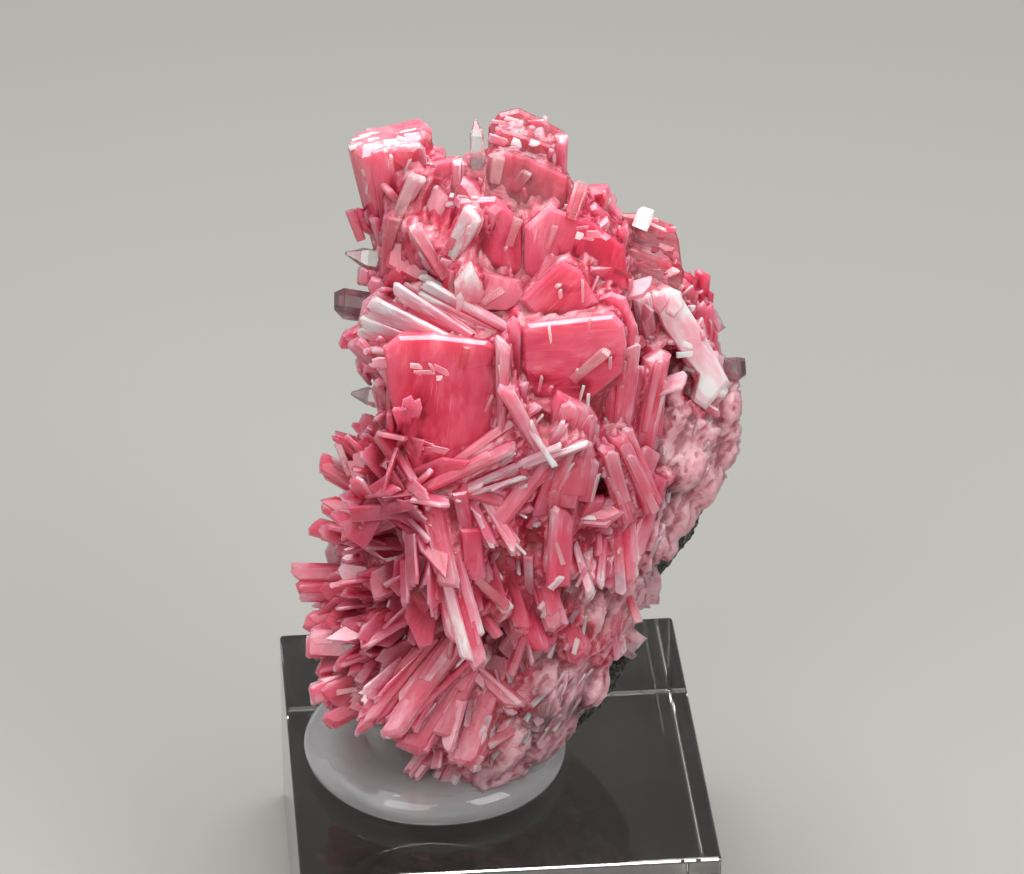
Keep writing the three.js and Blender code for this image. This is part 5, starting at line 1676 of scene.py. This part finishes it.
def colourRamp(tree, value, stops):
    node = addNode(tree, "ShaderNodeValToRGB", {0: value})
    ramp = node.color_ramp
    while len(ramp.elements) > 1:
        ramp.elements.remove(ramp.elements[-1])
    ramp.elements[0].position, ramp.elements[0].color = stops[0][0], (*stops[0][1], 1)
    for position, colour in stops[1:]:
        ramp.elements.new(position).color = (*colour, 1)
    return node.outputs[0]


def newGroup(name, inputs, outputs):
    tree = bpy.data.node_groups.new(name, "ShaderNodeTree")
    kinds = dict(f="NodeSocketFloat", v="NodeSocketVector")
    for label, kind, value in inputs:
        socket = tree.interface.new_socket(label, in_out="INPUT", socket_type=kinds[kind])
        if value is not None:
            socket.default_value = value
    for label, kind in outputs:
        tree.interface.new_socket(label, in_out="OUTPUT", socket_type=kinds[kind])
    return tree, tree.nodes.new("NodeGroupInput"), tree.nodes.new("NodeGroupOutput")


def useGroup(tree, group, inputs):
    return addNode(tree, "ShaderNodeGroup", inputs, node_tree=group)


def crystalGrainGroup():
    # streaks and clouds drawn out along each crystal's own axis
    tree, given, made = newGroup(
        "crystalGrain",
        [("Position", "v", None), ("Axis", "v", None), ("Shift", "f", 0.0), ("Streak Scale", "f", 2500.0),
         ("Stretch", "f", 14.0), ("Cloud Scale", "f", 300.0)],
        [("Streak", "f"), ("Fine Streak", "f"), ("Cloud", "f"), ("Veil", "f")],
    )
    position, axis, shift, streakScale, stretch, cloudScale = given.outputs[:6]
    lengthwise = scaled(tree, axis, vectorMaths(tree, "DOT_PRODUCT", position, axis))
    sideways = vectorMaths(tree, "SUBTRACT", position, lengthwise)
    drawn = scaled(tree, lengthwise, maths(tree, "DIVIDE", 1.0, stretch))
    stretched = vectorMaths(tree, "ADD", sideways, drawn)
    offset = addNode(tree, "ShaderNodeCombineXYZ", {0: shift, 1: shift}).outputs[0]
    streakAt = vectorMaths(tree, "ADD", scaled(tree, stretched, streakScale), offset)
    fineAt = vectorMaths(tree, "ADD", scaled(tree, stretched, times(tree, streakScale, 3.1)), offset)
    cloudPlace = vectorMaths(tree, "ADD", sideways, scaled(tree, lengthwise, 0.45))
    cloudAt = vectorMaths(tree, "ADD", scaled(tree, cloudPlace, cloudScale), offset)
    veilAt = scaled(tree, cloudAt, 2.6)
    layers = {  # place, detail, roughness
        "Streak": (streakAt, 2.0, 0.55), "Fine Streak": (fineAt, 1.0, 0.5),
        "Cloud": (cloudAt, 3.0, 0.55), "Veil": (veilAt, 3.0, 0.6),
    }
    for label, (place, detail, rough) in layers.items():
        inputs = {"Vector": place, "Scale": 1.0, "Detail": detail, "Roughness": rough}
        tree.links.new(addNode(tree, "ShaderNodeTexNoise", inputs).outputs[0], made.inputs[label])
    return tree


def paintedRimHighlightGroup():
    # painted highlight near a crystal's sides and its top, and a bright painted line along its borders, from
    # its place coordinates
    tree, given, made = newGroup(
        "paintedRimHighlight",
        [("Place", "v", None), ("Side Width", "f", 0.5), ("Top Width", "f", 0.4)],
        [("Side", "f"), ("Top", "f"), ("Line", "f")],
    )
    place, sideWide, topWide = given.outputs[:3]
    split = addNode(tree, "ShaderNodeSeparateXYZ", {0: place})
    across, along = maths(tree, "ABSOLUTE", split.outputs[0]), split.outputs[2]
    side = spanOf(tree, across, maths(tree, "SUBTRACT", 1.0, sideWide), 1.0)
    top = spanOf(tree, along, maths(tree, "SUBTRACT", 1.0, topWide), 1.0)
    line = maths(tree, "MAXIMUM", spanOf(tree, across, 0.92, 1.0), spanOf(tree, along, 0.965, 1.0))
    plug(tree, made, {"Line": line, "Side": side, "Top": top})
    return tree


def mineralGrainGroup():
    # angular grains of a massive mineral or a rock, with dark seams between them
    tree, given, made = newGroup(
        "mineralGrain",
        [("Position", "v", None), ("Scale", "f", 900.0), ("Seam", "f", 0.08)],
        [("Tone", "f"), ("Seam", "f"), ("Height", "f")],
    )
    position, scale, seamWide = given.outputs[:3]
    warpInputs = {"Vector": position, "Scale": times(tree, scale, 0.8), "Detail": 3.0}
    warp = addNode(tree, "ShaderNodeTexNoise", warpInputs).outputs["Color"]
    bent = vectorMaths(tree, "ADD", scaled(tree, position, scale), scaled(tree, warp, 0.7))
    cells = addNode(tree, "ShaderNodeTexVoronoi", {"Vector": bent, "Scale": 1.0}, feature="F1")
    seams = addNode(tree, "ShaderNodeTexVoronoi", {"Vector": bent, "Scale": 1.0}, feature="DISTANCE_TO_EDGE")
    tone = addNode(tree, "ShaderNodeSeparateColor", {0: cells.outputs["Color"]}).outputs[0]
    fineInputs = {"Vector": bent, "Scale": 4.0, "Detail": 3.0, "Roughness": 0.65}
    fine = addNode(tree, "ShaderNodeTexNoise", fineInputs).outputs[0]
    seam = spanOf(tree, seams.outputs["Distance"], 0.0, seamWide, 1.0, 0.0)
    height = plus(tree, times(tree, tone, 0.6), times(tree, fine, 0.5))
    height = maths(tree, "SUBTRACT", height, times(tree, seam, 0.4))
    plug(tree, made, {"Tone": tone, "Seam": seam, "Height": height})
    return tree


def handlingGroup():
    # faint smears and dust left by handling on a clear polished or moulded surface
    tree, given, made = newGroup(
        "handling",
        [("Position", "v", None), ("Smear Scale", "f", 90.0), ("Dust Scale", "f", 2600.0),
         ("Dust Amount", "f", 0.3)],
        [("Smear", "f"), ("Dust", "f")],
    )
    position, smearScale, dustScale, dustAmount = given.outputs[:4]
    smear = addNode(tree, "ShaderNodeTexNoise", {
        "Vector": position, "Scale": smearScale, "Detail": 5.0, "Roughness": 0.6, "Distortion": 0.6,
    })
    specks = addNode(tree, "ShaderNodeTexVoronoi", {"Vector": position, "Scale": dustScale}, feature="F1")
    edge = times(tree, dustAmount, 0.35)
    dust = spanOf(tree, specks.outputs["Distance"], 0.02, edge, 1.0, 0.0)
    pick = addNode(tree, "ShaderNodeSeparateColor", {0: specks.outputs["Color"]}).outputs[1]
    dust = times(tree, dust, spanOf(tree, pick, 0.7, 0.8))
    plug(tree, made, {"Smear": spanOf(tree, smear.outputs[0], 0.35, 0.75), "Dust": dust})
    return tree


crystalGrain = crystalGrainGroup()
paintedRimHighlight = paintedRimHighlightGroup()
mineralGrain = mineralGrainGroup()
handling = handlingGroup()


def newMaterial(name):
    material = bpy.data.materials.new(name)
    material.use_nodes = True
    tree = material.node_tree
    principled = tree.nodes["Principled BSDF"]
    position = addNode(tree, "ShaderNodeNewGeometry").outputs["Position"]
    return material, tree, principled, position


def attributeOf(tree, name):
    return addNode(tree, "ShaderNodeAttribute", attribute_name=name)


def feed(tree, principled, **sockets):
    plug(tree, principled, {label.replace("_", " "): value for label, value in sockets.items()})


def bumpFrom(tree, height, strength, distance):
    inputs = {"Height": height, "Strength": strength, "Distance": distance}
    return addNode(tree, "ShaderNodeBump", inputs).outputs[0]


# rhodonite

rhodonite = dict(
    colours=[  # from the deep rose used for painted shade in the hollows to the pale pink used for painted highlights on the edges
        (0.0, (0.36, 0.010, 0.030)),
        (0.22, (0.66, 0.045, 0.095)),
        (0.48, (0.80, 0.130, 0.200)),
        (0.76, (0.90, 0.34, 0.40)),
        (1.0, (0.97, 0.76, 0.76)),
    ],
    massiveColours=[(0.30, (0.15, 0.07, 0.08)), (0.62, (0.46, 0.13, 0.17)), (0.98, (0.72, 0.38, 0.41))],
    stained=(0.07, 0.058, 0.056, 1),
    darker=0.28,
    grain={"Streak Scale": 2300.0, "Stretch": 20.0, "Cloud Scale": 260.0},
    lumps={"Scale": 1700.0, "Seam": 0.10},
    transmission=0.25,
    subsurface=0.8,
    scatter=(0.0046, 0.0016, 0.0019),
    roughness=0.14, bump=0.00008,
)


def weighted(tree, *pairs):
    # the sum of the values, each times its weight
    total = 0.0
    for value, weight in pairs:
        part = times(tree, value, weight)
        total = part if isinstance(total, float) else plus(tree, total, part)
    return total


def crystalValue(tree, tone, pale, openShare, edge, swell, rimHighlight, grain):
    # how pale a point of the rhodonite is: painted shade in its hollows and creases, painted highlights on
    # its edges, swells, rims and tops, and its own paleness, clouds and streaks
    return weighted(
        tree,
        # painted shade: darker where a point sees little open space
        (spanOf(tree, openShare, 0.15, 0.85), 0.36),
        (tone, 0.10),
        (rimHighlight.outputs["Side"], 0.08),
        (rimHighlight.outputs["Top"], 0.13),
        (rimHighlight.outputs["Line"], 0.13),
        # painted highlights on sharp rises and swells, painted shade in creases
        (spanOf(tree, edge, 0.15, 1.4), 0.20),
        (spanOf(tree, edge, -0.9, -0.1, -1.0, 0.0), 0.10),
        (spanOf(tree, swell, -0.6, 1.0, -0.5, 1.0), 0.14),
        (spanOf(tree, grain.outputs["Cloud"], 0.35, 0.70), 0.26),
        (spanOf(tree, grain.outputs["Veil"], 0.45, 0.72), 0.2),
        (spanOf(tree, grain.outputs["Streak"], 0.5, 0.8), 0.05),
        (spanOf(tree, grain.outputs["Fine Streak"], 0.66, 0.8), 0.24),
        (pale, 0.62),
    )


def rhodoniteMaterial(name, transmission, subsurface, paleness):
    material, tree, principled, position = newMaterial(name)
    look = addNode(tree, "ShaderNodeSeparateXYZ", {0: attributeOf(tree, "look").outputs["Vector"]})
    tone, pale, massiveShare = look.outputs[:3]
    axis, place = (attributeOf(tree, label).outputs["Vector"] for label in ("axis", "place"))
    openShare, edge, swell = (attributeOf(tree, label).outputs["Fac"] for label in ("open", "edge", "swell"))
    grain = useGroup(tree, crystalGrain, {
        "Position": position, "Axis": axis, "Shift": times(tree, tone, 37.0), **rhodonite["grain"],
    })
    streak, fineStreak, cloud = grain.outputs[:3]
    # painted highlights on each crystal's sides, top and borders
    rimHighlight = useGroup(tree, paintedRimHighlight, {"Place": place, "Side Width": 0.45, "Top Width": 0.45})
    value = crystalValue(tree, tone, pale, openShare, edge, swell, rimHighlight, grain)
    colour = colourRamp(tree, plus(tree, value, paleness - rhodonite["darker"]), rhodonite["colours"])
    lumpy = useGroup(tree, mineralGrain, {"Position": position, **rhodonite["lumps"]})
    # painted highlight on the massive mineral's sharp rises and painted shade in its creases
    lumpTone, edgeHighlightAndShade = lumpy.outputs["Tone"], spanOf(tree, edge, -1.0, 1.2)
    massiveTone = weighted(tree, (cloud, 0.75), (streak, 0.35), (lumpTone, 0.28), (edgeHighlightAndShade, 0.25))
    massiveColour = colourRamp(tree, massiveTone, rhodonite["massiveColours"])
    stained = attributeOf(tree, "stain").outputs["Fac"]
    stained = times(tree, stained, spanOf(tree, streak, 0.3, 0.6, 0.5, 1.0))
    stained = spanOf(tree, stained, 0.15, 0.9, 0.0, 0.85)
    massiveColour = mixColour(tree, stained, massiveColour, rhodonite["stained"])
    colour = mixColour(tree, massiveShare, colour, massiveColour)
    rough = weighted(tree, (spanOf(tree, cloud, 0.35, 0.7), 0.12), (massiveShare, 0.3))
    rough = plus(tree, rough, rhodonite["roughness"])
    lumpHeight = times(tree, massiveShare, lumpy.outputs["Height"])
    height = weighted(tree, (streak, 1.0), (fineStreak, 0.4), (lumpHeight, 1.6))
    feed(tree, principled, Base_Color=colour, Roughness=rough, IOR=1.58, Transmission_Weight=transmission,
         Subsurface_Weight=subsurface, Subsurface_Radius=rhodonite["scatter"], Subsurface_Scale=1.0,
         Normal=bumpFrom(tree, height, 0.2, rhodonite["bump"]))
    return material


# host rock

hostRockLook = dict(
    colours=[(0.15, (0.012, 0.011, 0.011)), (0.6, (0.05, 0.047, 0.045)), (0.93, (0.16, 0.15, 0.145))],
    coarse={"Scale": 1500.0, "Seam": 0.10}, fine={"Scale": 4200.0, "Seam": 0.15},
    bump=0.00035,
)


def hostRockMaterial():
    material, tree, principled, position = newMaterial("hostRockDark")
    coarse = useGroup(tree, mineralGrain, {"Position": position, **hostRockLook["coarse"]})
    fine = useGroup(tree, mineralGrain, {"Position": position, **hostRockLook["fine"]})
    tone = weighted(tree, (coarse.outputs["Tone"], 0.55), (fine.outputs["Tone"], 0.45))
    colour = colourRamp(tree, tone, hostRockLook["colours"])
    rough = spanOf(tree, fine.outputs["Tone"], 0.2, 0.95, 0.85, 0.28)
    height = plus(tree, coarse.outputs["Height"], times(tree, fine.outputs["Height"], 0.5))
    feed(tree, principled, Base_Color=colour, Roughness=rough,
         Normal=bumpFrom(tree, height, 0.8, hostRockLook["bump"]))
    return material


# quartz and calcite


def quartzMaterial(name, colour, veil, roughness):
    material, tree, principled, position = newMaterial(name)
    axis = addNode(tree, "ShaderNodeCombineXYZ", {0: 0.0, 1: 0.5, 2: 0.86}).outputs[0]
    grain = useGroup(tree, crystalGrain, {
        "Position": position, "Axis": axis, "Shift": 3.0,
        "Streak Scale": 2200.0, "Stretch": 0.25, "Cloud Scale": 700.0,
    })
    cloud = spanOf(tree, grain.outputs["Cloud"], 0.4, 0.75)
    tint = mixColour(tree, cloud, (*colour, 1), (*veil, 1))
    rough = plus(tree, roughness, times(tree, cloud, 0.15))
    feed(tree, principled, Base_Color=tint, Roughness=rough, IOR=1.544, Transmission_Weight=0.85,
         Normal=bumpFrom(tree, grain.outputs["Streak"], 0.15, 0.00006))
    return material


calciteLook = dict(
    dull=(0.66, 0.58, 0.58, 1), white=(0.84, 0.79, 0.78, 1), grainScale=2600.0,
    subsurface=0.4, scatter=(0.001, 0.0009, 0.0008), bump=0.0001,
)


def calciteMaterial():
    material, tree, principled, position = newMaterial("calciteWhite")
    grainInputs = {"Position": position, "Scale": calciteLook["grainScale"], "Seam": 0.10}
    grain = useGroup(tree, mineralGrain, grainInputs)
    tone, height = grain.outputs["Tone"], grain.outputs["Height"]
    colour = mixColour(tree, tone, calciteLook["dull"], calciteLook["white"])
    feed(tree, principled, Base_Color=colour, Roughness=spanOf(tree, tone, 0.0, 1.0, 0.25, 0.5), IOR=1.6,
         Subsurface_Weight=calciteLook["subsurface"], Subsurface_Radius=calciteLook["scatter"],
         Subsurface_Scale=1.0, Normal=bumpFrom(tree, height, 0.4, calciteLook["bump"]))
    return material


# clear gum and acrylic

clearLook = {  # what handling has left on the gum and the block, and their colours
    "gum": dict(
        marks={"Smear Scale": 260.0, "Dust Scale": 2400.0, "Dust Amount": 0.35},
        colours=((0.92, 0.91, 0.93, 1), (0.98, 0.97, 0.98, 1)), dust=(0.9, 0.9, 0.9, 1),
    ),
    "acrylic": dict(
        marks={"Smear Scale": 55.0, "Dust Scale": 1500.0, "Dust Amount": 0.22},
        colours=((0.40, 0.395, 0.385, 1), (0.44, 0.435, 0.425, 1)), dust=(0.6, 0.6, 0.6, 1),
    ),
}


def gumMaterial():
    material, tree, principled, position = newMaterial("clearGum")
    look = clearLook["gum"]
    smear, dust = useGroup(tree, handling, {"Position": position, **look["marks"]}).outputs[:2]
    hazeInputs = {"Vector": position, "Scale": 140.0, "Detail": 3.0}
    haze = addNode(tree, "ShaderNodeTexNoise", hazeInputs).outputs[0]
    colour = mixColour(tree, spanOf(tree, haze, 0.3, 0.7), *look["colours"])
    colour = mixColour(tree, times(tree, dust, 0.6), colour, look["dust"])
    rough = plus(tree, 0.03, times(tree, smear, 0.08))
    feed(tree, principled, Base_Color=colour, Roughness=rough, IOR=1.41, Transmission_Weight=0.82,
         Normal=bumpFrom(tree, haze, 0.2, 0.0010))
    return material


def acrylicMaterial():
    material, tree, principled, position = newMaterial("clearAcrylic")
    look = clearLook["acrylic"]
    smear, dust = useGroup(tree, handling, {"Position": position, **look["marks"]}).outputs[:2]
    colour = mixColour(tree, smear, *look["colours"])
    colour = mixColour(tree, times(tree, dust, 0.5), colour, look["dust"])
    rough = plus(tree, 0.012, times(tree, smear, 0.05))
    rough = plus(tree, rough, times(tree, dust, 0.2))
    feed(tree, principled, Base_Color=colour, Roughness=rough, IOR=1.49, Transmission_Weight=1.0)
    return material


def dress(piece, material):
    piece.data.materials.clear()
    piece.data.materials.append(material)


clearQuartz = quartzMaterial("quartzClear", (0.93, 0.91, 0.90), (0.97, 0.93, 0.93), 0.05)
smokyQuartz = quartzMaterial("quartzSmoky", (0.40, 0.27, 0.29), (0.62, 0.48, 0.50), 0.06)
rhodoniteRose = rhodoniteMaterial("rhodoniteRose", rhodonite["transmission"], rhodonite["subsurface"], 0.0)
dress(prismPiece, rhodoniteMaterial("rhodoniteClear", 0.72, 0.0, 0.12))
dress(massivePiece, rhodoniteRose)
dress(crystalPiece, rhodoniteRose)
dress(hostRock, hostRockMaterial())
for name, piece in accessoryPieces.items():
    dress(piece, calciteMaterial() if "calcite" in name else smokyQuartz if "smoky" in name else clearQuartz)
dress(gumPad, gumMaterial())
dress(acrylicBlock, acrylicMaterial())
report("materials made")

# stage

studio = dict(
    floor=(0.27, 0.264, 0.247),
    world=(0.24, 0.24, 0.245),
    reach=2.0,
    lights=[  # position, aim, width, height, watts
        ((-0.20, -0.34, 0.36), (0, 0, 0.05), 0.34, 0.30, 1.2),
        ((0.00, 0.06, 0.46), (0, 0, 0.06), 0.36, 0.26, 3.2),
        ((0.26, -0.28, 0.36), (0, 0, 0.06), 0.22, 0.26, 1.3),
    ],
)


def floorMaterial():
    material, tree, principled, position = newMaterial("paleFloor")
    soft = addNode(tree, "ShaderNodeTexNoise", {"Vector": position, "Scale": 12.0, "Detail": 2.0}).outputs[0]
    floor = studio["floor"]
    colour = mixColour(tree, soft, (*[c * 0.98 for c in floor], 1), (*floor, 1))
    feed(tree, principled, Base_Color=colour, Roughness=0.85)
    return material


def makeStage():
    mesh = bpy.data.meshes.new("floor")
    corners = [(x * studio["reach"], y * studio["reach"], 0) for x, y in ((-1, -1), (1, -1), (1, 1), (-1, 1))]
    mesh.from_pydata(corners, [], [(0, 1, 2, 3)])
    floor = bpy.data.objects.new("floor", mesh)
    scene.collection.objects.link(floor)
    floor.location.z = cadBounds[0].z - 0.0002
    dress(floor, floorMaterial())
    floor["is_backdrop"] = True
    for number, (at, aim, width, height, watts) in enumerate(studio["lights"]):
        lamp = bpy.data.lights.new(f"softbox{number}", "AREA")
        lamp.shape = "RECTANGLE"
        lamp.size, lamp.size_y = width, height
        lamp.energy = watts
        holder = bpy.data.objects.new(f"softbox{number}", lamp)
        holder.location = at
        holder.rotation_mode = "QUATERNION"
        holder.rotation_quaternion = (Vector(aim) - Vector(at)).to_track_quat("-Z", "Y")
        scene.collection.objects.link(holder)
    world = bpy.data.worlds.new("studio")
    world.use_nodes = True
    world.node_tree.nodes["Background"].inputs[0].default_value = (*studio["world"], 1)
    scene.world = world


camera = dict(lens=166.99, sensor=36, roll=0.5)


def makeCamera():
    data = bpy.data.cameras.new("camera")
    data.lens = camera["lens"]
    data.sensor_width = camera["sensor"]
    data.clip_start, data.clip_end = 0.01, 20
    holder = bpy.data.objects.new("camera", data)
    turn = toRow.to_3x3().normalized().to_4x4() @ Matrix.Rotation(math.radians(camera["roll"]), 4, "Z")
    holder.matrix_world = Matrix.Translation(toRow @ eye) @ turn
    scene.collection.objects.link(holder)
    scene.camera = holder


makeStage()
makeCamera()
scene.view_settings.view_transform = "Standard"

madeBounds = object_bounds()
report(f"size: {[round(x * 1000, 2) for corner in madeBounds for x in corner]} mm")
